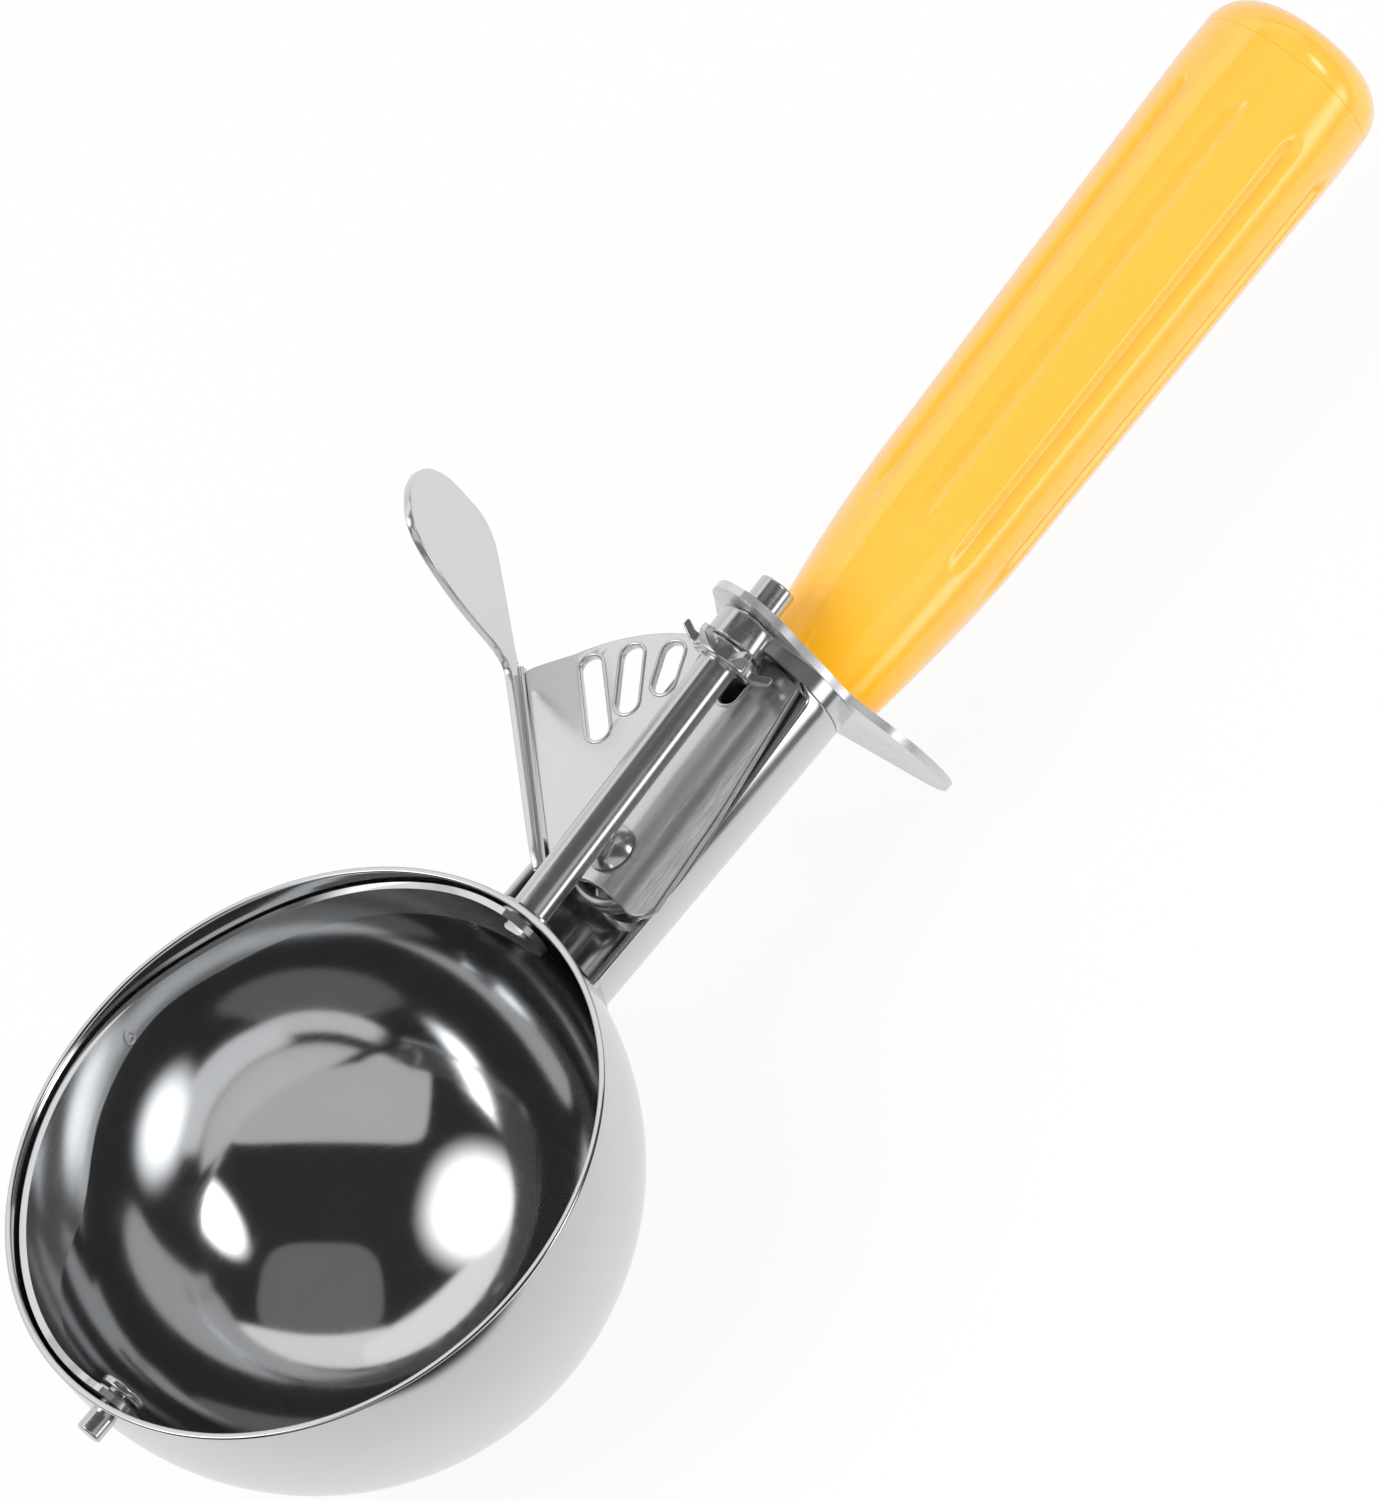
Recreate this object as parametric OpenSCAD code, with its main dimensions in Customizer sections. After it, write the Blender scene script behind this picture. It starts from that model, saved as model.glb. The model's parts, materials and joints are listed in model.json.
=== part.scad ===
// Lever ice cream scoop (disher) with a thumb lever, a toothed drive shaft
// and a scraper blade.  Millimetres, +Z out of the bowl's mouth.
// Origin: centre of the bowl's mouth.  +X: toward the handle.
// +Y: the side of the thumb lever.  Drawn at rest.

/* [Bowl] */
// Outer radius of the round bowl
bowl_r = 40; // [38:0.5:42]
// Thickness of the bowl's sheet
bowl_wall = 0.9; // [0.7:0.1:1.2]
// Height of the straight collar above the half sphere
collar_h = 4.4; // [4.2:0.1:5]
// Radius of the rolled corner on the rim
rim_round = 0.35; // [0.2:0.05:0.35]

/* [Scraper blade] */
// Running clearance between the blade and the bowl
blade_gap = 0.35; // [0.3:0.05:0.5]
// Thickness of the blade
blade_t = 0.9; // [0.7:0.1:1.1]
// Height of the blade's upper edge above its axis, at rest
blade_top = 2.0; // [1.5:0.1:2.5]
// Depth of the blade's lower edge below its axis, at rest
blade_low = 3.7; // [3:0.1:4.2]
// Depth of the blade's wide front part below its axis
blade_belly = 9.6; // [7:0.1:11]
// Radius of the ears that turn on the pin and the shaft
ear_r = 4.6; // [4.2:0.1:5]

/* [Front pin] */
// Radius of the front pin
pin_r = 1.7; // [1.5:0.05:2]
// How far the front pin stands out of the bowl
pin_out = 2.8; // [2:0.1:3.5]
// Radius of the pin's inner head
pin_head_r = 3; // [2.6:0.1:3.4]
// Thickness of the pin's inner head
pin_head_t = 1; // [0.8:0.1:1.4]

/* [Drive shaft] */
// Upward tilt of the drive shaft and of the lever's plane
shaft_tilt = 4.5; // [4:0.1:5]
// Radius of the drive shaft
shaft_r = 2.46; // [2.3:0.02:2.6]
// Distance from the bowl's wall to the shaft's free end
shaft_len = 52.1; // [51:0.1:54]
// Running clearance of shafts and pins in their holes
run_gap = 0.05; // [0.03:0.01:0.08]
// Width of the tongue that drives the blade
tongue_w = 3.6; // [3.2:0.1:3.9]
// Thickness of the tongue
tongue_t = 1.3; // [1.1:0.1:1.6]

/* [Pinion] */
// Place of the tooth ring along the shaft
tooth_at = 40.8; // [40.4:0.1:41]
// Tip radius of the claw teeth
tooth_tip_r = 6.6; // [6.4:0.05:6.7]
// Thickness of the tooth ring
tooth_t = 1.2; // [1:0.1:1.4]
// How far the tips lean toward the guard
tooth_lean = 1; // [0.8:0.1:1.1]
// Radius of the pinion's hub
pinion_hub_r = 4.2; // [4:0.05:4.3]

/* [Lever] */
// Place of the lever's post along the shaft's line
post_at = 14.1; // [13.8:0.1:14.4]
// Depth of the plate's top face below the shaft's line
plate_drop = 4.9; // [4.8:0.05:5]
// Thickness of the lever's sheet
plate_t = 1.1; // [0.9:0.1:1.2]
// Outer radius of the slotted sector
sector_r = 30.4; // [30:0.1:30.6]
// Width of the slots that the teeth drop into
slot_w = 3; // [2.9:0.05:3.2]
// Radius of the slots' outer ends
slot_out_r = 29; // [28.8:0.1:29.1]
// Height of the bent-up flange behind the sector
flange_h = 3; // [2:0.1:4]
// Length of the thumb pad
pad_len = 21.3; // [18:0.1:24]
// Height of the thumb pad above the plate
pad_h = 28.1; // [24:0.1:31]

/* [Lever post and spring] */
// Radius of the post that the lever turns on
post_r = 2.4; // [2.2:0.05:2.6]
// Radius of the post's domed head
post_head_r = 3.4; // [3.2:0.05:3.6]
// Height of the domed head
post_head_h = 1.8; // [1.5:0.05:1.9]
// Mean radius of the return spring's coil
spring_r = 6.2; // [5.9:0.05:6.3]
// Radius of the spring's wire
wire_r = 0.65; // [0.55:0.05:0.7]
// Number of full turns of the coil
spring_turns = 2; // [1:1:3]

/* [Shank] */
// Outer radius of the shank's tube
shank_r = 10.3; // [10:0.1:10.6]
// Wall of the shank's tube
shank_wall = 1.2; // [1:0.1:1.4]
// Depth of the shank's centre line below the mouth
shank_drop = 11; // [10.8:0.1:11.2]
// Height of the open trough's edge above the shank's centre line
trough_edge = 0.8; // [0.4:0.1:1.2]
// Clearance between the lever's sheet and the shank's lips
lip_gap = 0.4; // [0.35:0.05:0.5]
// Thickness of the lips
lip_t = 1; // [0.8:0.1:1.2]

/* [Guard and bearing] */
// Distance along the shank from the bowl's wall to the guard's front face
guard_out = 46.45; // [46.2:0.05:47]
// Thickness of the guard plate
guard_t = 1.1; // [1:0.1:1.4]
// Half width of the guard's wide lower part
guard_half_w = 16; // [15:0.1:17]
// Height of the guard's top above the shank's centre line
guard_top = 16.6; // [16:0.1:18]
// Depth of the guard's lower end below the shank's centre line
guard_low = 24; // [23:0.1:26]
// How far the guard's lower end is swept toward the grip
guard_sweep = 3.1; // [2.8:0.1:3.6]
// Radius of the bearing at the shank's end
bearing_r = 3.9; // [3.7:0.05:4]
// Length of the bearing, before the guard trims it
bearing_len = 4.2; // [4:0.1:4.4]

/* [Handle] */
// Upward tilt of the handle
handle_tilt = 3.2; // [3:0.1:3.4]
// Depth of the handle's centre line below the mouth, at the guard
handle_drop = 17.3; // [17:0.1:17.6]
// Length of the grip
grip_len = 105; // [102:0.5:108]
// Radius of the grip at the guard
grip_r_start = 8.4; // [8.2:0.1:8.8]
// Radius of the grip where the hand closes
grip_r_mid = 11.4; // [11:0.1:11.6]
// Radius of the grip near its end
grip_r_end = 12.85; // [12.4:0.05:13.2]
// Number of finger grooves round the grip
groove_count = 9; // [7:1:10]
// Width of one groove
groove_w = 2.4; // [1.8:0.1:3]
// Depth of one groove
groove_d = 0.7; // [0.4:0.05:0.9]
// Radius of the steel tang inside the grip
tang_r = 2.7; // [2.4:0.05:2.9]
// Distance from the tang's end to the grip's end
tang_short = 24; // [22:1:34]

/* [Hidden] */
$fn = 96;

eps = 0.01;
seat_gap = 0.03;
big = 200;
axis_z = -collar_h;
bowl_in_r = bowl_r - bowl_wall;
blade_out_r = bowl_in_r - blade_gap;
blade_in_r = blade_out_r - blade_t;

// The shaft's line and the blade's axis cross in the middle of the bowl's rear wall.
shaft_root_x = bowl_r - bowl_wall / 2;
tongue_start = -0.3;
tongue_end = blade_in_r - shaft_root_x - 0.5;
bush_r = shaft_r + 0.8;

tooth_count = 6;
tooth_root_w = 2.1;
tooth_tip_w = 1;
pinion_front = 1;
pinion_back = 1.4;

plate_bottom = plate_drop + plate_t;
slot_pitch = 12;
slot_in_r = [22.7, 23.8, 21.7, 19.2, 16.3];
flange_dir = 48.5;
flange_at = [-6.8, 6.5];
neck_at = [12.75, 29.3];
lobe_at = [-3, -8.4];
lobe_r = 3;
near_edge = 10.5;

lip_top = plate_bottom + lip_gap;
spring_top = plate_bottom + 0.35;
wire_pitch = 2 * wire_r + 0.08;
guard_at = shaft_root_x + guard_out;
full_tube_x = guard_at - 2.3;
window_corner = 1.8;
plug_back = 0.9;
bearing_start = tooth_at + pinion_back + 0.2;
tang_len = grip_len - tang_short;

// ---------------------------------------------------------------- placing

module at_shaft() {
  translate([shaft_root_x, 0, axis_z])
    rotate([0, -shaft_tilt, 0])
      children();
}

// Z of the children runs along the shaft.
module along_shaft(from = 0) {
  at_shaft()
    translate([from, 0, 0])
      rotate([0, 90, 0])
        children();
}

// Origin at the lever's post, at the shaft's height.
module at_post() {
  at_shaft()
    translate([post_at, 0, 0])
      children();
}

// Z of the children runs along the X axis, through the blade's axis.
module along_blade(from = 0) {
  translate([from, 0, axis_z])
    rotate([0, 90, 0])
      children();
}

module along_shank(from = 0) {
  translate([from, 0, -shank_drop])
    rotate([0, 90, 0])
      children();
}

// The guard's front face; X of the children points along the handle.
module at_guard() {
  translate([guard_at, 0, -shank_drop])
    rotate([0, -handle_tilt, 0])
      children();
}

// Z of the children runs along the handle, from the guard's back face.
module along_handle(from = 0) {
  at_guard()
    translate([guard_t + from, 0, shank_drop - handle_drop])
      rotate([0, 90, 0])
        children();
}

// How far the swept guard stands behind its top, at a height over the shank's centre line.
guard_bend_from = 4;
function guard_back(z) =
  let (t = max(0, min(1, (guard_bend_from - z) / (guard_bend_from + guard_low))))
    guard_sweep * t * t * (3 - 2 * t);

// Side view of all that lies within a slab along the guard: x and the height over the shank's centre line.
module guard_slab(from, to) {
  heights = concat([for (z = [guard_bend_from : -2.5 : -guard_low]) z], [-guard_low, -60]);
  translate([guard_at, big / 2, -shank_drop])
    rotate([90, 0, 0])
      linear_extrude(big)
        polygon(concat(
          [[from, 60]], [for (z = heights) [from + guard_back(z), z]],
          [for (i = [len(heights) - 1 : -1 : 0]) [to + guard_back(heights[i]), heights[i]]], [[to, 60]]
        ));
}

// Everything on the handle's side of the guard's front face.
module behind_guard() {
  guard_slab(-seat_gap, 40);
}

module ring(r_out, r_in, h) {
  difference() {
    cylinder(h = h, r = r_out);
    translate([0, 0, -eps])
      cylinder(h = h + 2 * eps, r = r_in);
  }
}

// ---------------------------------------------------------------- bowl

module dome_profile(r) {
  intersection() {
    union() {
      translate([0, axis_z])
        circle(r, $fn = 180);
      translate([0, axis_z])
        square([r, collar_h]);
    }
    translate([0, axis_z - r - eps])
      square([r + eps, r + collar_h + eps]);
  }
}

module dome_solid(r) {
  rotate_extrude($fn = 180)
    dome_profile(r);
}

module bowl() {
  color("gainsboro")
    difference() {
      rotate_extrude($fn = 180)
        difference() {
          dome_profile(bowl_r);
          dome_profile(bowl_in_r);
          // eased corner on the rim's outer edge
          translate([bowl_r - rim_round, -rim_round])
            difference() {
              square(rim_round + eps);
              circle(rim_round, $fn = 32);
            }
        }
      along_blade(-bowl_r - 1)
        cylinder(h = bowl_wall + 2, r = pin_r + seat_gap);
      along_shaft(-2)
        cylinder(h = 4, r = bush_r + seat_gap);
    }
}

// Bead of braze where the shank meets the bowl.
module bowl_fillet() {
  color("silver")
    difference() {
      along_shank(25)
        ring(shank_r + 0.9, shank_r + seat_gap, 20);
      dome_solid(bowl_r + seat_gap);
      difference() {
        translate([0, -big / 2, -big / 2])
          cube(big);
        dome_solid(bowl_r + 0.9);
      }
      translate([0, -big / 2, -shank_drop + trough_edge])
        cube(big);
    }
}

module front_pin() {
  color("silver")
    union() {
      along_blade(-bowl_r - pin_out)
        cylinder(h = bowl_r + pin_out - blade_in_r + 1.2 + pin_head_t, r = pin_r);
      along_blade(-blade_in_r + 0.75)
        cylinder(h = pin_head_t, r = pin_head_r);
    }
}

module front_washer() {
  color("silver")
    along_blade(-blade_in_r + 0.25)
      ring(pin_head_r, pin_r + seat_gap, 0.45);
}

module rear_bush() {
  color("silver")
    along_shaft(-0.45)
      ring(bush_r, shaft_r + run_gap, 1.6);
}

// ---------------------------------------------------------------- blade

// Side outline of the blade, seen along Y, with the blade's axis as base line.
module blade_outline() {
  belly_r = 36;
  span = blade_out_r + 1;
  polygon([
    [-span, ear_r], [-36, 3.4], [-30, blade_top + 0.2], [-20, blade_top],
    [24, blade_top - 0.3], [31, blade_top], [35, 3], [37.2, 4.1], [span, ear_r],
    [span, -ear_r], [37.6, -3.2], [30, -blade_low + 0.2], [17, -blade_low - 0.1],
    [-30, -blade_low], [-37, -3.4], [-span, -ear_r]
  ]);
  intersection() {
    translate([-19, belly_r - blade_belly])
      circle(belly_r, $fn = 180);
    translate([-37, -blade_belly - 1])
      square([44, blade_belly + 1]);
  }
}

module blade_shell() {
  translate([0, 0, axis_z])
    difference() {
      sphere(blade_out_r, $fn = 180);
      sphere(blade_in_r, $fn = 180);
    }
}

module scraper_blade() {
  color("gainsboro")
    difference() {
      intersection() {
        blade_shell();
        union() {
          translate([0, 0, axis_z])
            rotate([90, 0, 0])
              translate([0, 0, -big / 2])
                linear_extrude(big / 2)
                  blade_outline();
          along_blade(-bowl_r)
            cylinder(h = 2 * bowl_r, r = ear_r);
        }
      }
      along_blade(-bowl_r)
        cylinder(h = bowl_r / 2, r = pin_r + run_gap);
      translate([bowl_r / 2, -tongue_w / 2 - 0.4, axis_z - tongue_t / 2 - 0.4])
        cube([bowl_r / 2, tongue_w + 0.8, tongue_t + 0.8]);
    }
}

// ---------------------------------------------------------------- shaft

module drive_shaft() {
  color("silver")
    union() {
      along_shaft(tongue_start)
        cylinder(h = shaft_len - tongue_start - 0.4, r = shaft_r);
      along_shaft(shaft_len - 0.4 - eps)
        cylinder(h = 0.4 + eps, r1 = shaft_r, r2 = shaft_r - 0.4);
      at_shaft()
        intersection() {
          translate([tongue_end, -tongue_w / 2, -tongue_t / 2])
            cube([tongue_start - tongue_end + eps, tongue_w, tongue_t]);
          translate([tongue_end, 0, 0])
            rotate([0, 90, 0])
              cylinder(h = 5, r = tongue_w / 2);
        }
    }
}

// Side view of one claw: x along the shaft, y outward.
module claw_side() {
  half = tooth_t / 2;
  root = pinion_hub_r - 1;
  bend = pinion_hub_r + 0.6;
  polygon([
    [half, root], [half, bend], [half + tooth_lean, tooth_tip_r],
    [tooth_lean - half, tooth_tip_r], [-half, bend], [-half, root]
  ]);
}

// Front view of one claw: x across, y outward.
module claw_front() {
  root = pinion_hub_r - 1;
  polygon([
    [-tooth_root_w / 2, root], [-tooth_root_w / 2, pinion_hub_r + 0.3],
    [-tooth_tip_w / 2, tooth_tip_r + eps], [tooth_tip_w / 2, tooth_tip_r + eps],
    [tooth_root_w / 2, pinion_hub_r + 0.3], [tooth_root_w / 2, root]
  ]);
}

module claw() {
  intersection() {
    translate([0, tooth_root_w, 0])
      rotate([90, 0, 0])
        linear_extrude(2 * tooth_root_w)
          claw_side();
    translate([-5, 0, 0])
      rotate([90, 0, 90])
        linear_extrude(10)
          claw_front();
  }
}

module pinion() {
  color("silver")
    at_shaft()
      translate([tooth_at, 0, 0])
        difference() {
          union() {
            translate([-pinion_front, 0, 0])
              rotate([0, 90, 0])
                cylinder(h = pinion_front + pinion_back, r = pinion_hub_r);
            for (i = [0 : tooth_count - 1])
              rotate([180 + i * 360 / tooth_count, 0, 0])
                claw();
          }
          translate([-5, 0, 0])
            rotate([0, 90, 0])
              cylinder(h = 10, r = shaft_r + seat_gap);
          translate([(pinion_back - tooth_t / 2) / 2 + 0.3, 0, 0])
            rotate([90, 0, 0])
              translate([0, 0, -2 * shaft_r])
                cylinder(h = 4 * shaft_r, r = 0.4 + seat_gap, $fn = 32);
        }
}

// Small dowel that stops the pinion from turning on the shaft.
module pinion_pin() {
  color("silver")
    at_shaft()
      translate([tooth_at + (pinion_back - tooth_t / 2) / 2 + 0.3, 0, 0])
        rotate([90, 0, 0])
          translate([0, 0, shaft_r + seat_gap])
            cylinder(h = pinion_hub_r - shaft_r - 0.15, r = 0.4, $fn = 32);
}

module shaft_bearing() {
  color("silver")
    difference() {
      along_shaft(bearing_start)
        ring(bearing_r, shaft_r + run_gap, bearing_len);
      behind_guard();
    }
}

// ---------------------------------------------------------------- shank

// Side outline of what is kept of the tube, seen along Y.
module shank_side() {
  function lip_z(x) = axis_z - lip_top / cos(shaft_tilt) + (x - shaft_root_x) * tan(shaft_tilt);
  edge_z = -shank_drop + trough_edge;
  rise_x = shaft_root_x + 15.4;
  lip_x = shaft_root_x + 24.4;
  corner = [full_tube_x - window_corner, lip_z(full_tube_x - window_corner) + window_corner];
  polygon(concat(
    [[bowl_r / 2, -big / 2], [bowl_r / 2, edge_z], [rise_x, edge_z], [lip_x, lip_z(lip_x)]],
    [for (t = [-90 : 15 : 0]) corner + window_corner * [cos(t), sin(t)]],
    [[full_tube_x, big / 2], [guard_at + 10, big / 2], [guard_at + 10, -big / 2]]
  ));
}

// Plan of the window between the lips: x along the shaft, y across.
module window_plan() {
  half = [[14, 12], [19, 9.9], [27, 9], [37.7, 7.5], [42, 6.6], [43.6, 5]];
  polygon(concat(half, [for (i = [len(half) - 1 : -1 : 0]) [half[i][0], -half[i][1]]]));
}

// The lips start a little too thick: the side outline trims them.
lip_over = 0.3;

module shank_lips() {
  intersection() {
    at_shaft()
      translate([0, 0, -lip_top - lip_t])
        linear_extrude(lip_t + lip_over)
          difference() {
            translate([17, -shank_r])
              square([full_tube_x - shaft_root_x - 17, 2 * shank_r]);
            window_plan();
          }
    along_shank(shaft_root_x)
      cylinder(h = guard_out, r = shank_r - 0.3);
  }
}

module shank() {
  color("gainsboro")
    difference() {
      intersection() {
        union() {
          along_shank(bowl_r / 2)
            ring(shank_r, shank_r - shank_wall, guard_at + guard_sweep - bowl_r / 2);
          shank_lips();
        }
        translate([0, big / 2, 0])
          rotate([90, 0, 0])
            linear_extrude(big)
              shank_side();
      }
      dome_solid(bowl_r + seat_gap);
      behind_guard();
      along_shaft(bearing_start - 1)
        cylinder(h = 10, r = bearing_r + seat_gap);
      along_handle(-10)
        cylinder(h = 20, r = tang_r + seat_gap);
    }
}

// Disc that closes the tube's end and holds the tang's root.
module shank_plug() {
  color("silver")
    difference() {
      along_shank(full_tube_x + plug_back)
        cylinder(h = guard_at - full_tube_x + guard_sweep, r = shank_r - shank_wall - seat_gap);
      behind_guard();
      at_post()
        translate([0, 0, -plate_bottom - lip_gap])
          cylinder(h = 2 * shank_r, r = sector_r + lip_gap, $fn = 180);
      along_shaft(bearing_start - 1)
        cylinder(h = 10, r = bearing_r + seat_gap);
      along_handle(-10)
        cylinder(h = 20, r = tang_r + seat_gap);
    }
}

// ---------------------------------------------------------------- lever

module slot(inner, outer) {
  r = slot_w / 2;
  translate([inner + r, 0])
    circle(r, $fn = 32);
  translate([outer - r, 0])
    circle(r, $fn = 32);
  translate([inner + r, -r])
    square([outer - inner - 2 * r, slot_w]);
}

// Outline of the flat plate, post at the origin, x along the shaft.
module plate_outline() {
  corner_r = sqrt(neck_at[0] * neck_at[0] + neck_at[1] * neck_at[1]);
  difference() {
    union() {
      intersection() {
        circle(sector_r, $fn = 180);
        polygon([
          [-6.2, 4.2], flange_at, neck_at, [31, 18], [31, -8.1], [29.3, -8.1],
          [10, -near_edge], [lobe_at[0], -near_edge - 0.9], [-2, -4.3], [-4.6, 0.5]
        ]);
      }
      circle(5, $fn = 64);
      translate(lobe_at)
        circle(lobe_r, $fn = 48);
      intersection() {
        circle(corner_r, $fn = 180);
        polygon([[0, 10], [1.5, 15.9], neck_at, [17.5, 26], [14, 15]]);
      }
    }
    for (i = [0 : len(slot_in_r) - 1])
      rotate(i * slot_pitch)
        slot(slot_in_r[i], slot_out_r);
    circle(post_r + run_gap, $fn = 64);
  }
}

// Flat teardrop of the thumb pad: x along the flange, y up from the plate's top.
module pad_outline() {
  k = pad_len / 21.3;
  m = pad_h / 28.1;
  polygon([
    [-3.5 * k, -0.5], [-0.9 * k, 1.2 * m], [-0.1 * k, 4 * m], [0.5 * k, 7 * m], [0.8 * k, 11.5 * m],
    [1.3 * k, 16 * m], [2.1 * k, 20 * m], [3.2 * k, 23.6 * m], [4.4 * k, 26.1 * m],
    [5.9 * k, 27.6 * m], [7.4 * k, pad_h], [9.2 * k, pad_h], [11.3 * k, 27.7 * m],
    [13.1 * k, 26.9 * m], [16 * k, 24.8 * m], [18.5 * k, 21.9 * m], [20 * k, 19 * m],
    [21 * k, 15.9 * m], [pad_len, 13 * m], [pad_len, 10 * m], [21.2 * k, 7.4 * m],
    [20.6 * k, 5.2 * m], [18.9 * k, 3.4 * m], [17 * k, 2.7 * m], [14.9 * k, 2.3 * m],
    [8 * k, 1.3 * m], [3 * k, 0.6], [1.2 * k, -0.5]
  ]);
}

// Bent-up strip along the sector's rear edge, in the same axes as the pad.
module flange_outline() {
  run = norm(neck_at - flange_at);
  polygon([
    [-run, 0.3 - plate_t], [-run + 3, flange_h * 0.5], [-run + 9, flange_h * 0.62],
    [-run + 18, flange_h * 0.75], [-3, flange_h * 0.9], [0.5, flange_h],
    [1.2, -0.5], [1.2, -plate_t]
  ]);
}

module lever() {
  color("gainsboro")
    at_post()
      union() {
        translate([0, 0, -plate_bottom])
          linear_extrude(plate_t)
            plate_outline();
        translate([neck_at[0], neck_at[1], -plate_drop])
          rotate([90, 0, flange_dir])
            translate([0, 0, -plate_t / 2])
              linear_extrude(plate_t)
                union() {
                  pad_outline();
                  flange_outline();
                }
      }
}

// Post with a domed head, from the trough's floor to above the lever.
module lever_post() {
  dome_r = (post_head_r * post_head_r + post_head_h * post_head_h) / (2 * post_head_h);
  head_z = -plate_drop + 0.3;
  color("silver")
    union() {
      intersection() {
        at_post()
          translate([0, 0, head_z - 20])
            cylinder(h = 20 + eps, r = post_r);
        along_shank(shaft_root_x)
          cylinder(h = 2 * post_at, r = shank_r - shank_wall - seat_gap);
      }
      at_post()
        intersection() {
          translate([0, 0, head_z + post_head_h - dome_r])
            sphere(dome_r, $fn = 96);
          translate([0, 0, head_z])
            cylinder(h = post_head_h + 1, r = post_head_r + 1);
        }
    }
}

// Boss on the trough's floor that the post stands in.
module post_seat() {
  seat_top = -13.4;
  color("silver")
    intersection() {
      at_post()
        translate([0, 0, -30])
          ring(6, post_r + seat_gap, 30 + seat_top);
      along_shank(40)
        cylinder(h = 40, r = shank_r - shank_wall - seat_gap);
    }
}

// Tube that the coil winds round.
module spring_sleeve() {
  color("silver")
    at_post()
      translate([0, 0, -13.35])
        ring(post_r + 1.6, post_r + seat_gap, 13.35 - plate_bottom - 0.75);
}

module lever_washer() {
  color("silver")
    at_post()
      translate([0, 0, -plate_bottom - 0.7])
        ring(4.9, post_r + seat_gap, 0.4);
}

// Torsion spring: a leg on the trough's wall, the coil, and a leg under the lever.
leg_angle = 75;
leg_len = 7.4;
coil_steps = 30;
wire_sides = 10;

function coil_point(a) = [
  spring_r * cos(a), spring_r * sin(a), (a + leg_angle) / 360 * wire_pitch
];
function coil_heading(a) = [-sin(a), cos(a), 0];
function wire_route() =
  let (
    last = 360 * spring_turns + leg_angle,
    count = ceil((last + leg_angle) / 360 * coil_steps)
  )
  concat(
    [coil_point(-leg_angle) - leg_len * coil_heading(-leg_angle)],
    [for (i = [0 : count]) coil_point(-leg_angle + i * (last + leg_angle) / count)],
    [coil_point(last) + leg_len * coil_heading(last)]
  );

// Round wire swept along a route that runs nearly level.
module wire_along(route) {
  n = len(route);
  heading = [
    for (i = [0 : n - 1])
      let (d = route[min(i + 1, n - 1)] - route[max(i - 1, 0)])
        d / norm(d)
  ];
  points = [
    for (i = [0 : n - 1])
      let (side = cross(heading[i], [0, 0, 1]), out = side / norm(side), up = cross(out, heading[i]))
        for (j = [0 : wire_sides - 1])
          let (t = j * 360 / wire_sides)
            route[i] + wire_r * (cos(t) * out + sin(t) * up)
  ];
  sides = [
    for (i = [0 : n - 2])
      for (j = [0 : wire_sides - 1])
        let (k = (j + 1) % wire_sides)
          [i * wire_sides + j, i * wire_sides + k, (i + 1) * wire_sides + k, (i + 1) * wire_sides + j]
  ];
  ends = [
    [for (j = [wire_sides - 1 : -1 : 0]) j],
    [for (j = [0 : wire_sides - 1]) (n - 1) * wire_sides + j]
  ];
  polyhedron(points, concat(sides, ends), convexity = 8);
}

module return_spring() {
  coil_h = (360 * spring_turns + 2 * leg_angle) / 360 * wire_pitch;
  color("silver")
    at_post()
      translate([0, 0, -spring_top - wire_r - coil_h])
        wire_along(wire_route());
}

// ---------------------------------------------------------------- guard

// Right half of the guard's outline, from the top down: y and the height over the shank's centre line.
function guard_side() = [
  [0, guard_top], [2, guard_top - 0.4], [3.8, guard_top - 1.4], [5.6, guard_top - 3.4],
  [7, 10], [8.5, 7], [9.7, 4], [shank_r, 1], [shank_r + 0.9, -1.2],
  [guard_half_w - 2.6, -3.2], [guard_half_w - 1, -6], [guard_half_w - 0.2, -9.5],
  [guard_half_w, -13], [guard_half_w, -17], [guard_half_w - 0.5, 3.5 - guard_low],
  [guard_half_w - 1.7, 1.4 - guard_low], [guard_half_w - 4, 0.3 - guard_low],
  [guard_half_w - 7, -guard_low]
];

module guard_plate() {
  side = guard_side();
  color("gainsboro")
    difference() {
      intersection() {
        guard_slab(0, guard_t);
        translate([guard_at - 5, 0, -shank_drop])
          rotate([90, 0, 90])
            linear_extrude(guard_t + guard_sweep + 10)
              polygon(concat(
                side, [for (i = [len(side) - 1 : -1 : 1]) [-side[i][0], side[i][1]]]
              ));
      }
      along_shaft(bearing_start)
        cylinder(h = shaft_len, r = shaft_r + 0.35);
      along_handle(-10)
        cylinder(h = 20, r = tang_r + seat_gap);
    }
}

// ---------------------------------------------------------------- handle

// How far the tang reaches into the shank's plug.
tang_root = 1.2;

// Steel rod from the shank's plug through the guard into the grip.
module tang() {
  color("silver")
    along_handle(-guard_t - tang_root)
      cylinder(h = tang_len + guard_t + tang_root, r = tang_r);
}

nut_r = 5.4;
nut_h = 4;

module tang_nut() {
  color("silver")
    along_handle(tang_len - nut_h - 1)
      ring(nut_r, tang_r + seat_gap, nut_h);
}

cap_len = 6.5;
spigot_r = nut_r + 0.8;
butt_round = 5.5;
grip_swell = 33.4;

// Radius of the grip at a distance x from the guard.
function grip_r(x) =
  x < grip_swell
    ? grip_r_start + (grip_r_mid - grip_r_start) * sin(90 * x / grip_swell)
    : grip_r_mid + (grip_r_end - grip_r_mid) * min(1, (x - grip_swell) / (grip_len - cap_len - grip_swell));

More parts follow.
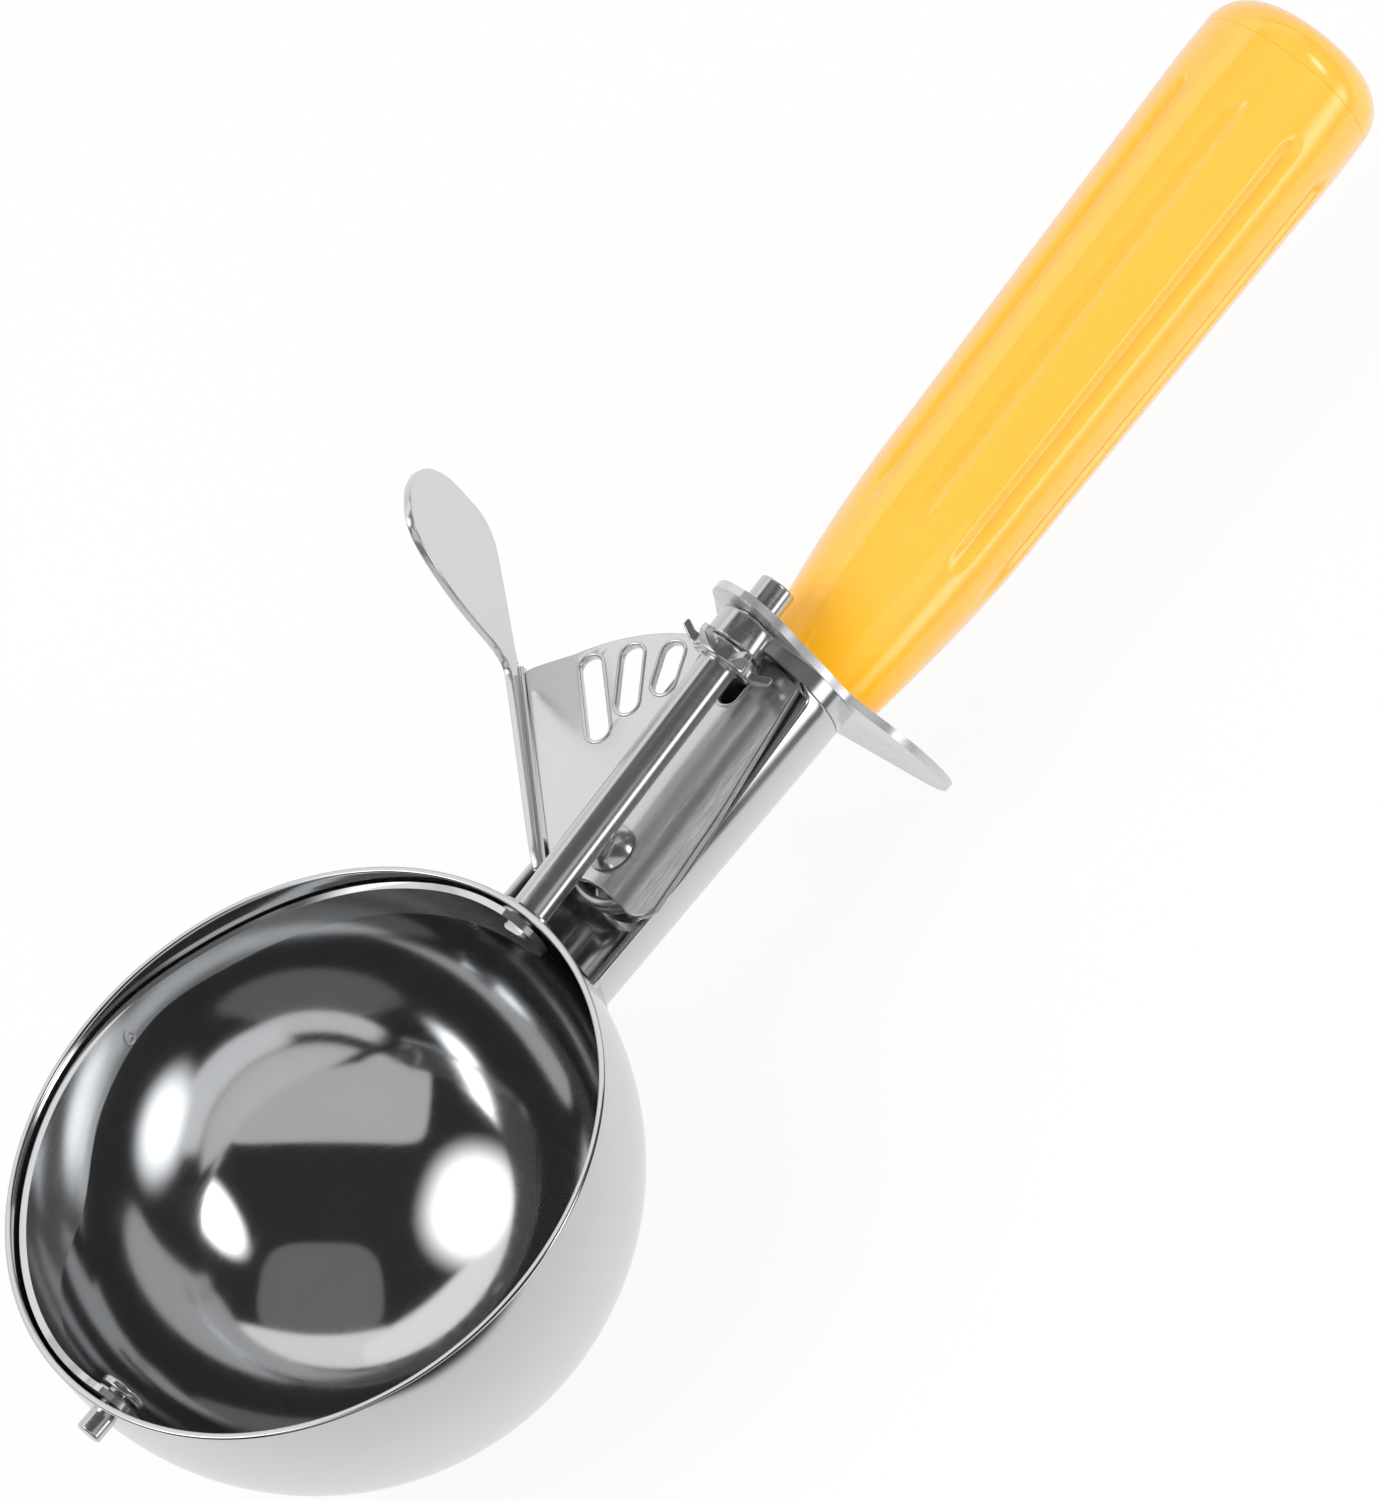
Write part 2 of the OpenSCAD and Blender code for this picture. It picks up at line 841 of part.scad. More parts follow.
module grip_profile(inset = 0) {
  last = grip_len - cap_len;
  polygon(concat(
    [[0, -0.8], [grip_r(0) - inset, -0.8]],
    [for (i = [0 : 11]) let (x = grip_swell * i / 11) [grip_r(x) - inset, x]],
    [[grip_r(last) - inset, last], [0, last]]
  ));
}

// A straight round-nosed cutter from one point to another: [x, z] each.
module nosed_bar(from, to, r) {
  run = to - from;
  translate([from[0], 0, from[1]])
    rotate([0, atan2(run[0], run[1]), 0])
      union() {
        cylinder(h = norm(run), r = r, $fn = 32);
        sphere(r, $fn = 32);
        translate([0, 0, norm(run)])
          sphere(r, $fn = 32);
      }
}

groove_from = 17;

module groove(angle) {
  from_z = groove_from;
  turn_z = grip_swell;
  to_z = grip_len - cap_len - 4.5;
  lift = groove_w / 2 - groove_d;
  rotate(angle)
    union() {
      nosed_bar([grip_r(from_z) + lift, from_z], [grip_r(turn_z) + lift, turn_z], groove_w / 2);
      nosed_bar([grip_r(turn_z) + lift, turn_z], [grip_r(to_z) + lift, to_z], groove_w / 2);
    }
}

// Moulded grip: a shell with solid ends, grooved along its length.
module handle_grip() {
  color("gold")
    difference() {
      along_handle(0.05)
        difference() {
          rotate_extrude($fn = 120)
            grip_profile();
          for (i = [0 : groove_count - 1])
            groove(20 + i * 360 / groove_count);
          translate([0, 0, -1])
            cylinder(h = grip_len, r = tang_r + seat_gap);
          translate([0, 0, tang_len - nut_h - 1 - 0.05 - seat_gap])
            cylinder(h = grip_len, r = spigot_r + seat_gap);
        }
      guard_slab(-40, guard_t + 0.05);
    }
}

module butt_cap() {
  r = grip_r(grip_len - cap_len);
  color("gold")
    along_handle(grip_len - cap_len + 0.1)
      union() {
        rotate_extrude($fn = 120)
          intersection() {
            union() {
              translate([r - butt_round, cap_len - butt_round - 0.6])
                circle(butt_round, $fn = 72);
              square([r, cap_len - butt_round - 0.6]);
              square([r - butt_round, cap_len - 0.6]);
            }
            square([r, cap_len]);
          }
        translate([0, 0, -3.5])
          cylinder(h = 3.5 + eps, r = spigot_r);
      }
}

bowl();
front_pin();
front_washer();
scraper_blade();
rear_bush();
bowl_fillet();
drive_shaft();
pinion();
pinion_pin();
shaft_bearing();
shank();
shank_plug();
lever();
lever_post();
post_seat();
lever_washer();
spring_sleeve();
return_spring();
guard_plate();
tang();
tang_nut();
handle_grip();
butt_cap();
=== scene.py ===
"""Looks of a lever ice cream scoop: polished steel, a glossy grip and a plain studio."""

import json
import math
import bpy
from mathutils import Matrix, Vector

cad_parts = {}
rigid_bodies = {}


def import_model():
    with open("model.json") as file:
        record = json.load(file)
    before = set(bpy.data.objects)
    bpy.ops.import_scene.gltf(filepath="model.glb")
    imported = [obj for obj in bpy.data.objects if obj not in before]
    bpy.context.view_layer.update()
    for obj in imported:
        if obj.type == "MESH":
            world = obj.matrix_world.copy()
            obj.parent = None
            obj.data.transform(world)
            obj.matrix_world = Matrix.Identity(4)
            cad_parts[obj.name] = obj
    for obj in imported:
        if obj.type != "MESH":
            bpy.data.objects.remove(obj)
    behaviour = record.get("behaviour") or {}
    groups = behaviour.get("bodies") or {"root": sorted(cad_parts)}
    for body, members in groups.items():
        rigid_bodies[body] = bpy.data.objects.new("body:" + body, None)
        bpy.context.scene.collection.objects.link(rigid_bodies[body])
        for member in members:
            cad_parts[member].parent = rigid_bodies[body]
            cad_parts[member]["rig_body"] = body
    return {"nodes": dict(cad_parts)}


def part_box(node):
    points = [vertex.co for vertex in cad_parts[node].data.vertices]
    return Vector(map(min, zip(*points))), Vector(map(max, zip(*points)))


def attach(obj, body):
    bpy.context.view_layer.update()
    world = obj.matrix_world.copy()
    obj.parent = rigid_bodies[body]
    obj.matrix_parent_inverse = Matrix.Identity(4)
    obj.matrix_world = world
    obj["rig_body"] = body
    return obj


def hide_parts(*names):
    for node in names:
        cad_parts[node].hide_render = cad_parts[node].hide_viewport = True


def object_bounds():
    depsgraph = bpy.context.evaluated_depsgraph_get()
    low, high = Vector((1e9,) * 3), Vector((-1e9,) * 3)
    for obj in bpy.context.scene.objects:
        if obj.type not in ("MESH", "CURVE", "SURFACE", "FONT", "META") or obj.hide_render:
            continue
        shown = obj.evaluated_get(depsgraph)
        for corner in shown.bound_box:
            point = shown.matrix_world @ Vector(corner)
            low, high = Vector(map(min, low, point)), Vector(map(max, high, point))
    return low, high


bl_info = {
    "name": "Lever Ice Cream Scoop",
    "version": (1, 0, 0),
    "blender": (4, 5, 0),
    "location": "3D View > Sidebar > Scoop",
    "description": "Models and finishes a round scoop with a thumb lever and a scraper blade",
    "category": "Object",
}

import bmesh
import bpy
from mathutils import Matrix, Vector

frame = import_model()
CAD_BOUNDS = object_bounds()
NODES = frame["nodes"]

MM = 0.001
FINE = 192  # sides of the large turned pieces
TURNED = 96  # sides of rods, pins and rings
SAME_POINT = 2e-6  # points closer than this are joined
CLAWS = 6


# ---- sizes

def half_width(node):
    """Half the width of a CAD node's box, across the handle."""
    low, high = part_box(node)
    return (high.y - low.y) / 2


def length(name, text, default):
    """One size of the scoop, in metres, as a property."""
    return bpy.props.FloatProperty(
        name=name, description=text, default=default, min=0, precision=5, unit="LENGTH")


def angle(name, text, degrees):
    """One angle of the scoop as a property."""
    return bpy.props.FloatProperty(
        name=name, description=text, default=math.radians(degrees), subtype="ANGLE")


def colour(name, text, default):
    """One base colour as a property."""
    return bpy.props.FloatVectorProperty(
        name=name, description=text, default=default, size=3, min=0, max=1, subtype="COLOR")


class ScoopSizes(bpy.types.PropertyGroup):
    """Sizes of the bowl, the shaft, the shank and the lever."""

    bowl_radius: length("Bowl radius", "Outer radius of the bowl", half_width("bowl"))
    bowl_wall: length("Bowl wall", "Thickness of the bowl's sheet", 0.9 * MM)
    collar: length("Collar", "Height of the straight collar above the half sphere",
                   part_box("bowl")[1].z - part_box("bowl")[0].z - half_width("bowl"))
    blade_gap: length("Blade gap", "Clearance between blade and bowl", 0.35 * MM)
    blade_thick: length("Blade thickness", "Thickness of the scraper blade", 0.9 * MM)
    blade_ear: length("Blade ear", "Radius of the blade's two ears", 4.6 * MM)
    pin_radius: length("Pin radius", "Radius of the front pin", 1.7 * MM)
    shaft_tilt: angle("Shaft tilt", "Upward tilt of the shaft and the lever", 4.5)
    shaft_radius: length("Shaft radius", "Radius of the drive shaft", 2.46 * MM)
    shaft_length: length("Shaft length", "Length of the shaft outside the bowl", 52.1 * MM)
    pinion_at: length("Pinion place", "Place of the claws along the shaft", 40.8 * MM)
    pinion_radius: length("Pinion radius", "Radius over the claws' tips", 6.6 * MM)
    hub_radius: length("Hub radius", "Radius of the pinion's hub", 4.2 * MM)
    post_at: length("Post place", "Place of the lever's post along the shaft", 14.1 * MM)
    plate_drop: length("Plate drop", "Depth of the lever's top below the shaft", 4.9 * MM)
    plate_thick: length("Plate thickness", "Thickness of the lever's sheet", 1.1 * MM)
    sector_radius: length("Sector radius", "Outer radius of the slotted sector", 30.4 * MM)
    slot_width: length("Slot width", "Width of the sector's slots", 3.0 * MM)
    slot_reach: length("Slot reach", "Radius of the slots' outer ends", 29.0 * MM)
    shank_radius: length("Shank radius", "Outer radius of the shank", half_width("shank"))
    shank_wall: length("Shank wall", "Thickness of the shank's sheet", 1.2 * MM)
    shank_drop: length("Shank drop", "Depth of the shank's centre line", 11 * MM)
    closed_from: length("Closed from", "Distance from the bowl's centre to the closed tube",
                        83.7 * MM)
    guard_at: length("Guard place", "Distance from the bowl's centre to the guard", 86.0 * MM)
    guard_thick: length("Guard thickness", "Thickness of the guard plate", 1.1 * MM)
    guard_half_width: length("Guard half width", "Half width of the guard",
                             half_width("guard_plate"))
    guard_top: length("Guard top", "Height of the guard over the shank's centre line", 16.6 * MM)
    guard_low: length("Guard depth", "Depth of the guard under the shank's centre line", 24 * MM)
    guard_sweep: length("Guard sweep", "How far the guard's lower end leans to the grip", 3.1 * MM)
    handle_tilt: angle("Handle tilt", "Upward tilt of the handle", 3.2)
    handle_drop: length("Handle drop", "Depth of the handle's centre line", 17.3 * MM)
    grip_length: length("Grip length", "Length of the grip with its cap", 105 * MM)
    grip_start: length("Grip start radius", "Radius of the grip at the guard", 8.4 * MM)
    grip_middle: length("Grip middle radius", "Radius of the grip under the palm", 11.4 * MM)
    grip_end: length("Grip end radius", "Radius of the grip at its end", half_width("handle_grip"))
    grip_swell: length("Grip swell", "Length over which the grip widens", 33.4 * MM)
    cap_length: length("Cap length", "Length of the grip's end cap", 6.5 * MM)
    groove_width: length("Groove width", "Width of one groove", 2.4 * MM)
    groove_depth: length("Groove depth", "Depth of one groove", 0.8 * MM)
    groove_count: bpy.props.IntProperty(
        name="Grooves", description="Number of grooves round the grip", default=9, min=3, max=24)


class ScoopColours(bpy.types.PropertyGroup):
    """Base colours of the finishes."""

    sheet_steel: colour("Sheet steel", "Polished sheet of bowl, lever and shank",
                        (0.77, 0.78, 0.79))
    turned_steel: colour("Turned steel", "Shaft, pins and bearings", (0.72, 0.73, 0.74))
    spring_steel: colour("Spring steel", "Drawn wire of the return spring", (0.62, 0.63, 0.64))
    grip: colour("Grip", "Glossy amber plastic of the grip", (1.0, 0.555, 0.085))
    floor: colour("Floor", "Pale floor under the scoop", (0.9, 0.9, 0.9))


def sizes():
    """The sizes that the operators use."""
    return bpy.context.scene.scoop_sizes


def colours():
    """The colours that the finishes use."""
    return bpy.context.scene.scoop_colours


# ---- places

def shift(x=0.0, y=0.0, z=0.0):
    """A move along each axis."""
    return Matrix.Translation((x, y, z))


def turn(degrees, axis):
    """A turn about one axis."""
    return Matrix.Rotation(math.radians(degrees), 4, axis)


def at_shaft():
    """X along the drive shaft, from the middle of the bowl's rear wall."""
    s = sizes()
    root = shift(s.bowl_radius - s.bowl_wall / 2, 0, -s.collar)
    return root @ Matrix.Rotation(-s.shaft_tilt, 4, "Y")


def along_shaft(start=0.0):
    """Z along the drive shaft."""
    return at_shaft() @ shift(start) @ turn(90, "Y")


def at_post():
    """At the lever's post, in the height of the shaft."""
    return at_shaft() @ shift(sizes().post_at)


def along_blade():
    """Z along the blade's axis."""
    return shift(0, 0, -sizes().collar) @ turn(90, "Y")


def guard_back(z):
    """How far the swept guard stands behind its top, at a height over the shank's centre line."""
    s = sizes()
    bend = 4 * MM
    t = min(max((bend - z) / (bend + s.guard_low), 0), 1)
    return s.guard_sweep * t * t * (3 - 2 * t)


def along_handle():
    """Z along the handle, from the guard's back face."""
    s = sizes()
    front = shift(s.guard_at, 0, -s.shank_drop) @ Matrix.Rotation(-s.handle_tilt, 4, "Y")
    return front @ shift(s.guard_thick, 0, s.shank_drop - s.handle_drop) @ turn(90, "Y")


# ---- mesh tools

def new_object(name, data):
    """An object in the scene."""
    piece = bpy.data.objects.new(name, data)
    bpy.context.scene.collection.objects.link(piece)
    return piece


def smooth(mesh, limit=32):
    """Smooth shading with sharp edges where faces meet at more than the limit."""
    mesh.polygons.foreach_set("use_smooth", [True] * len(mesh.polygons))
    mesh.set_sharp_from_angle(angle=math.radians(limit))


def welded(mesh):
    """Joins a mesh's doubled points and turns its normals outward."""
    shape = bmesh.new()
    shape.from_mesh(mesh)
    bmesh.ops.remove_doubles(shape, verts=shape.verts, dist=SAME_POINT)
    bmesh.ops.recalc_face_normals(shape, faces=shape.faces)
    shape.to_mesh(mesh)
    shape.free()


def mesh_piece(name, points, faces, place=None, limit=32):
    """A closed piece from points and faces."""
    mesh = bpy.data.meshes.new(name)
    mesh.from_pydata([tuple(p) for p in points], [], faces)
    welded(mesh)
    if place is not None:
        mesh.transform(place)
    smooth(mesh, limit)
    return new_object(name, mesh)


def baked(piece):
    """The piece as a plain mesh, with its modifiers or its curve's bevel applied."""
    bpy.context.view_layer.update()
    graph = bpy.context.evaluated_depsgraph_get()
    mesh = bpy.data.meshes.new_from_object(piece.evaluated_get(graph))
    name = piece.name
    old = piece.data
    bpy.data.objects.remove(piece)
    if isinstance(old, bpy.types.Curve):
        bpy.data.curves.remove(old)
    else:
        bpy.data.meshes.remove(old)
    mesh.name = name
    return new_object(name, mesh)


def eased_edges(piece, width, limit=40):
    """Rounds a piece's sharp edges and bakes the result."""
    bevel = piece.modifiers.new("edges", "BEVEL")
    bevel.width = width
    bevel.segments = 3
    bevel.limit_method = "ANGLE"
    bevel.angle_limit = math.radians(limit)
    return even_normals(baked(piece))


def even_normals(piece):
    """Shading normals that follow the large faces, so that flat sheets reflect as flat ones."""
    piece.modifiers.new("normals", "WEIGHTED_NORMAL").keep_sharp = True
    return baked(piece)


def eased_path(corners, steps=5, closed=False):
    """Points along a line whose corners (x, y, radius) are rounded."""
    points = []
    count = len(corners)
    for i, (x, y, radius) in enumerate(corners):
        here = Vector((x, y))
        if radius <= 0 or (not closed and i in (0, count - 1)):
            points.append(here)
            continue
        before = (Vector(corners[i - 1][:2]) - here).normalized()
        after = (Vector(corners[(i + 1) % count][:2]) - here).normalized()
        half = before.angle(after) / 2
        reach = radius / math.tan(half)
        centre = here + (before + after).normalized() * radius / math.sin(half)
        start = here + before * reach - centre
        end = here + after * reach - centre
        sweep = start.angle_signed(end)
        for k in range(steps + 1):
            spoke = start.copy()
            spoke.rotate(Matrix.Rotation(-sweep * k / steps, 2))
            points.append(centre + spoke)
    return points


def arc(cx, cy, radius, start, end, count):
    """Points on an arc, angles in degrees."""
    spots = (math.radians(start + (end - start) * k / count) for k in range(count + 1))
    return [Vector((cx + radius * math.cos(a), cy + radius * math.sin(a))) for a in spots]


def smooth_line(points, steps):
    """A smooth line through the points."""
    spots = [Vector(p) for p in points]
    last = len(spots) - 1
    result = []
    for i in range(last):
        a, b, c, d = (spots[min(max(k, 0), last)] for k in range(i - 1, i + 3))
        for k in range(steps):
            t = k / steps
            result.append(0.5 * (2 * b + (c - a) * t + (2 * a - 5 * b + 4 * c - d) * t ** 2
                                 + (3 * b - a - 3 * c + d) * t ** 3))
    return result + [spots[-1]]


def turned_piece(name, profile, place, steps=TURNED, limit=32):
    """A profile of (radius, height) points turned round the local Z axis."""
    points, rings, faces = [], [], []
    for radius, height in profile:
        if radius < 1e-6:
            rings.append([len(points)] * steps)
            points.append((0, 0, height))
            continue
        rings.append(list(range(len(points), len(points) + steps)))
        for k in range(steps):
            a = 2 * math.pi * k / steps
            points.append((radius * math.cos(a), radius * math.sin(a), height))
    pairs = list(zip(rings, rings[1:]))
    if profile[0][0] > 1e-6 and profile[-1][0] > 1e-6:
        pairs.append((rings[-1], rings[0]))
    for low, high in pairs:
        for k in range(steps):
            n = (k + 1) % steps
            loop = [low[k], low[n], high[n], high[k]]
            face = [v for i, v in enumerate(loop) if v != loop[i - 1]]
            if len(face) > 2:
                faces.append(face)
    return mesh_piece(name, points, faces, place, limit)


def curved_piece(name, lines, closed, **settings):
    """A mesh from a curve of straight runs, whose bevel and fill come from the settings."""
    curve = bpy.data.curves.new(name, "CURVE")
    for key, value in settings.items():
        setattr(curve, key, value)
    for line in lines:
        spline = curve.splines.new("POLY")
        spline.points.add(len(line) - 1)
        for spot, point in zip(spline.points, line):
            spot.co = (*point, 1)
        spline.use_cyclic_u = closed
    return baked(new_object(name, curve))


def cut_sheet(name, outline, holes, thickness, place, edge):
    """A flat sheet from z = 0 up to its thickness, with holes and rounded edges."""
    lines = [[(p[0], p[1], 0) for p in line] for line in (outline, *holes)]
    piece = curved_piece(
        name, lines, True, dimensions="2D", fill_mode="BOTH", extrude=thickness / 2 - edge,
        bevel_depth=edge, bevel_resolution=2, offset=-edge)
    welded(piece.data)
    piece.data.transform(place @ shift(0, 0, thickness / 2))
    smooth(piece.data)
    return even_normals(piece)


def swept_wire(name, points, radius, place, sides, closed=False):
    """A round wire along the points."""
    piece = curved_piece(name, [points], closed, dimensions="3D", bevel_depth=radius,
                         bevel_resolution=sides, use_fill_caps=True)
    piece.data.transform(place)
    smooth(piece.data, 50)
    return piece


def prism_faces(count):
    """Faces between two equal loops of points, and over both ends."""
    faces = [[k, (k + 1) % count, (k + 1) % count + count, k + count] for k in range(count)]
    return faces + [list(range(count)), list(range(2 * count - 1, count - 1, -1))]


def walled_grid(name, top, bottom, edge=0.0):
    """A closed shell between two equal grids of points."""
    rows, columns = len(top), len(top[0])
    points = [p for row in top for p in row] + [p for row in bottom for p in row]
    below = rows * columns
    faces = []
    for i in range(rows - 1):
        for j in range(columns - 1):
            a = i * columns + j
            quad = [a, a + 1, a + columns + 1, a + columns]
            faces += [quad, [v + below for v in reversed(quad)]]
    rim = list(range(columns))
    rim += [i * columns + columns - 1 for i in range(1, rows)]
    rim += [(rows - 1) * columns + j for j in range(columns - 2, -1, -1)]
    rim += [i * columns for i in range(rows - 2, 0, -1)]
    for k, a in enumerate(rim):
        b = rim[(k + 1) % len(rim)]
        faces.append([a, a + below, b + below, b])
    piece = mesh_piece(name, points, faces)
    return eased_edges(piece, edge) if edge else piece


def added(piece, body, finish, node=None):
    """Gives a piece its finish and body, and hides the CAD node that it stands for, if any."""
    piece.data.materials.clear()
    piece.data.materials.append(finish_of(finish))
    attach(piece, body)
    if node:
        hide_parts(node)


def finished(piece, node, finish):
    """Puts a piece in the place of its CAD node."""
    added(piece, NODES[node]["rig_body"], finish, node)


def dressed(finish, *nodes):
    """Gives CAD nodes that stay a better finish."""
    for node in nodes:
        NODES[node].data.materials.clear()
        NODES[node].data.materials.append(finish_of(finish))


# ---- shader maths

def both_ways(operation):
    """A Math node's operation as a Python operator and as its reflected form."""
    return (lambda self, other: self.maths(operation, self, other),
            lambda self, other: self.maths(operation, other, self))


class Wire:
    """A shader socket on which Python's operators build Math nodes."""

    def __init__(self, kit, socket):
        self.kit = kit
        self.socket = socket

    def maths(self, operation, *values, clamp=False):
        """A Math node on the values."""
        settings = {"operation": operation, "use_clamp": clamp}
        return self.kit.node("ShaderNodeMath", settings, values)

    __add__, __radd__ = both_ways("ADD")
    __sub__, __rsub__ = both_ways("SUBTRACT")
    __mul__, __rmul__ = both_ways("MULTIPLY")
    __truediv__, __rtruediv__ = both_ways("DIVIDE")
    __pow__, __rpow__ = both_ways("POWER")

    def __abs__(self):
        return self.maths("ABSOLUTE", self)

    def __neg__(self):
        return self * -1.0

    def larger(self, other):
        """The larger of two values."""
        return self.maths("MAXIMUM", self, other)

    def limited(self):
        """The value, kept between 0 and 1."""
        return self.maths("ADD", self, 0.0, clamp=True)


class Kit:
    """The node tree of one material or world."""

    def __init__(self, tree):
        self.tree = tree
        tree.nodes.clear()

    def node(self, kind, settings=None, values=(), output=0):
        """One node: its settings first, then its sockets' values or links."""
        made = self.tree.nodes.new(kind)
        for key, value in (settings or {}).items():
            setattr(made, key, value)
        pairs = values.items() if isinstance(values, dict) else enumerate(values)
        for key, value in pairs:
            if isinstance(value, Wire):
                self.tree.links.new(value.socket, made.inputs[key])
            elif value is not None:
                made.inputs[key].default_value = value
        return Wire(self, made.outputs[output]) if made.outputs else made

    def noise(self, scale, detail, vector, roughness=0.5):
        """Noise between 0 and 1, its scale per metre."""
        return self.node("ShaderNodeTexNoise", None, {
            "Scale": scale, "Detail": detail, "Roughness": roughness, "Vector": vector})

    def mix(self, factor, a, b):
        """A colour between a and b."""
        return self.node("ShaderNodeMix", {"data_type": "RGBA"}, {0: factor, 6: a, 7: b}, output=2)

    def step(self, value, start, end):
        """0 below start, 1 above end, smooth between."""
        return self.node("ShaderNodeMapRange", {"interpolation_type": "SMOOTHSTEP"},
                         {"Value": value, "From Min": start, "From Max": end})

    def dot(self, vector, direction):
        """How far a vector goes in a direction."""
        return self.node("ShaderNodeVectorMath", {"operation": "DOT_PRODUCT"},
                         {0: vector, 1: tuple(direction)}, output=1)

    def bump(self, height, strength, distance, normal=None):
        """A normal from a height between 0 and 1 that stands for a distance in metres."""
        return self.node("ShaderNodeBump", None, {
            "Height": height, "Strength": strength, "Distance": distance, "Normal": normal})

    def place(self):
        """The point on the piece, in metres."""
        return self.node("ShaderNodeTexCoord", output=3)

    def stretched(self, vector, scale):
        """A vector scaled by its own factor along each axis."""
        return self.node("ShaderNodeMapping", None, {"Vector": vector, "Scale": scale})

    def outputs(self, first):
        """All outputs of a node, by name."""
        return {socket.name: Wire(self, socket) for socket in first.socket.node.outputs}

    def parts(self, vector):
        """A vector's x, y and z."""
        return self.outputs(self.node("ShaderNodeSeparateXYZ", None, [vector])).values()

    def rays(self, *kinds):
        """1 where a ray is of the kind."""
        path = self.outputs(self.node("ShaderNodeLightPath"))
        return [path[f"Is {kind} Ray"] for kind in kinds]


def rgb(shade, share=1.0):
    """A share of a shade, as a node takes it."""
    return (*(c * share for c in shade), 1.0)


def new_material(name):
    """An empty material and its kit."""
    material = bpy.data.materials.new(name)
    material.use_nodes = True
    return material, Kit(material.node_tree)


def steel(name, shade, lines, roughness, waviness, metal=1.0, pits=0.0, painted_shade_mask=None):
    """Polished steel: faint lines, soft waviness, slight hazing and, if asked, painted shade that
    darkens its tone.
    """
    material, kit = new_material(name)
    spot = kit.place()
    streaks = kit.noise(1.0, 3.0, lines(kit, spot), 0.6)
    haze = kit.noise(90.0, 3.0, spot)
    waves = kit.noise(60.0, 1.0, spot)
    tone = kit.mix((haze * 0.5 + streaks * 0.5).limited(), rgb(shade, 0.93), rgb(shade))
    # Painted shade: where the mask says, the tone darkens to 0.3 of the colour, a little streaked.
    if painted_shade_mask:
        mask = painted_shade_mask(kit, spot) * (streaks * 0.9 + 0.35)
        tone = kit.mix(mask.limited(), tone, rgb(shade, 0.3))
    rough = roughness + (streaks - 0.5) * roughness * 0.9 + (haze - 0.5) * roughness * 0.8
    height = kit.bump(waves, 0.5, waviness)
    height = kit.bump(streaks, 0.12, 2.5e-6, height)
    if pits:
        grain = kit.noise(2600.0, 2.0, spot)
        height = kit.bump(grain, pits, 8e-6, height)
    surface = kit.node("ShaderNodeBsdfPrincipled", None, {
        "Base Color": tone, "Metallic": metal, "Roughness": rough.limited(), "Normal": height})
    kit.node("ShaderNodeOutputMaterial", None, [surface])
    return material


def round_lines(kit, spot):
    """Lines round the bowl's upright axis, as spinning leaves them."""
    x, y, z = kit.parts(spot)
    swing = y.maths("ARCTAN2", y, x)
    return kit.node("ShaderNodeCombineXYZ", None, [swing * 2.0, z * 2500.0, 0.0])


def long_lines(kit, spot):
    """Lines along the handle's direction."""
    return kit.stretched(spot, (60.0, 3200.0, 3200.0))


def cross_lines(kit, spot):
    """Lines round the rods, as turning leaves them."""
    return kit.stretched(spot, (4200.0, 90.0, 90.0))


def no_lines(kit, spot):
    """Soft mottling only, on the flat guard."""
    return kit.stretched(spot, (140.0, 140.0, 140.0))


def painted_shade_in_tube(kit, spot):
    """Painted shade: 1 on the shank's inner wall, which is darkened as shade, and 0 on its outer
    wall.
    """
    s = sizes()
    _, y, z = kit.parts(spot)
    height = z + s.shank_drop
    reach = (y * y + height * height) ** 0.5
    inner = s.shank_radius - s.shank_wall
    return 1.0 - kit.step(reach, inner + s.shank_wall * 0.2, inner + s.shank_wall * 0.8)


def painted_shade_on_lever(kit, spot):
    """Painted shade on the part of the lever's plate that runs inside the shank, up to 0.85 there.
    """
    _, y, _ = kit.parts(spot)
    return (1.0 - kit.step(y, -5.2 * MM, -3.6 * MM)) * 0.85


def grip_plastic():
    """Glossy moulded plastic, a little translucent, with faint flow marks, a deeper amber painted
    shade next to the guard and a painted amber glow, strongest there.
    """
    material, kit = new_material("amber_plastic")
    red, green, blue = colours().grip
    spot = kit.place()
    flow = kit.noise(1.0, 3.0, kit.stretched(spot, (25.0, 160.0, 160.0)))
    specks = kit.noise(700.0, 2.0, spot)
    tone = kit.mix(flow, rgb((red, green * 0.93, blue * 0.7)), rgb((red, green, blue)))
    x, _, _ = kit.parts(spot)
    away = kit.step(x, sizes().guard_at, sizes().guard_at + 16 * MM)
    # Painted shade: a deeper amber next to the guard, fading out over 16 mm.
    tone = kit.mix(away, rgb((red, green * 0.9, blue * 0.1)), tone)
    # Painted glow: a faint amber emission, brighter next to the guard, stands in for light through
    # the plastic.
    painted_glow = kit.mix(away, rgb((1.0, 0.42, 0.0)), rgb((0.4, 0.15, 0.0)))
    height = kit.bump(flow, 0.12, 40e-6)
    height = kit.bump(specks, 0.05, 6e-6, height)
    surface = kit.node("ShaderNodeBsdfPrincipled", None, {
        "Base Color": tone, "Roughness": 0.2 + (specks - 0.5) * 0.05, "IOR": 1.5,
        "Subsurface Weight": 0.3, "Emission Color": painted_glow, "Emission Strength": 0.25,
        "Subsurface Radius": (1.0, 0.45, 0.1), "Subsurface Scale": 1.5 * MM,
        "Coat Weight": away * 0.75 + 0.25, "Coat Roughness": 0.06, "Normal": height})
    kit.node("ShaderNodeOutputMaterial", None, [surface])
    return material


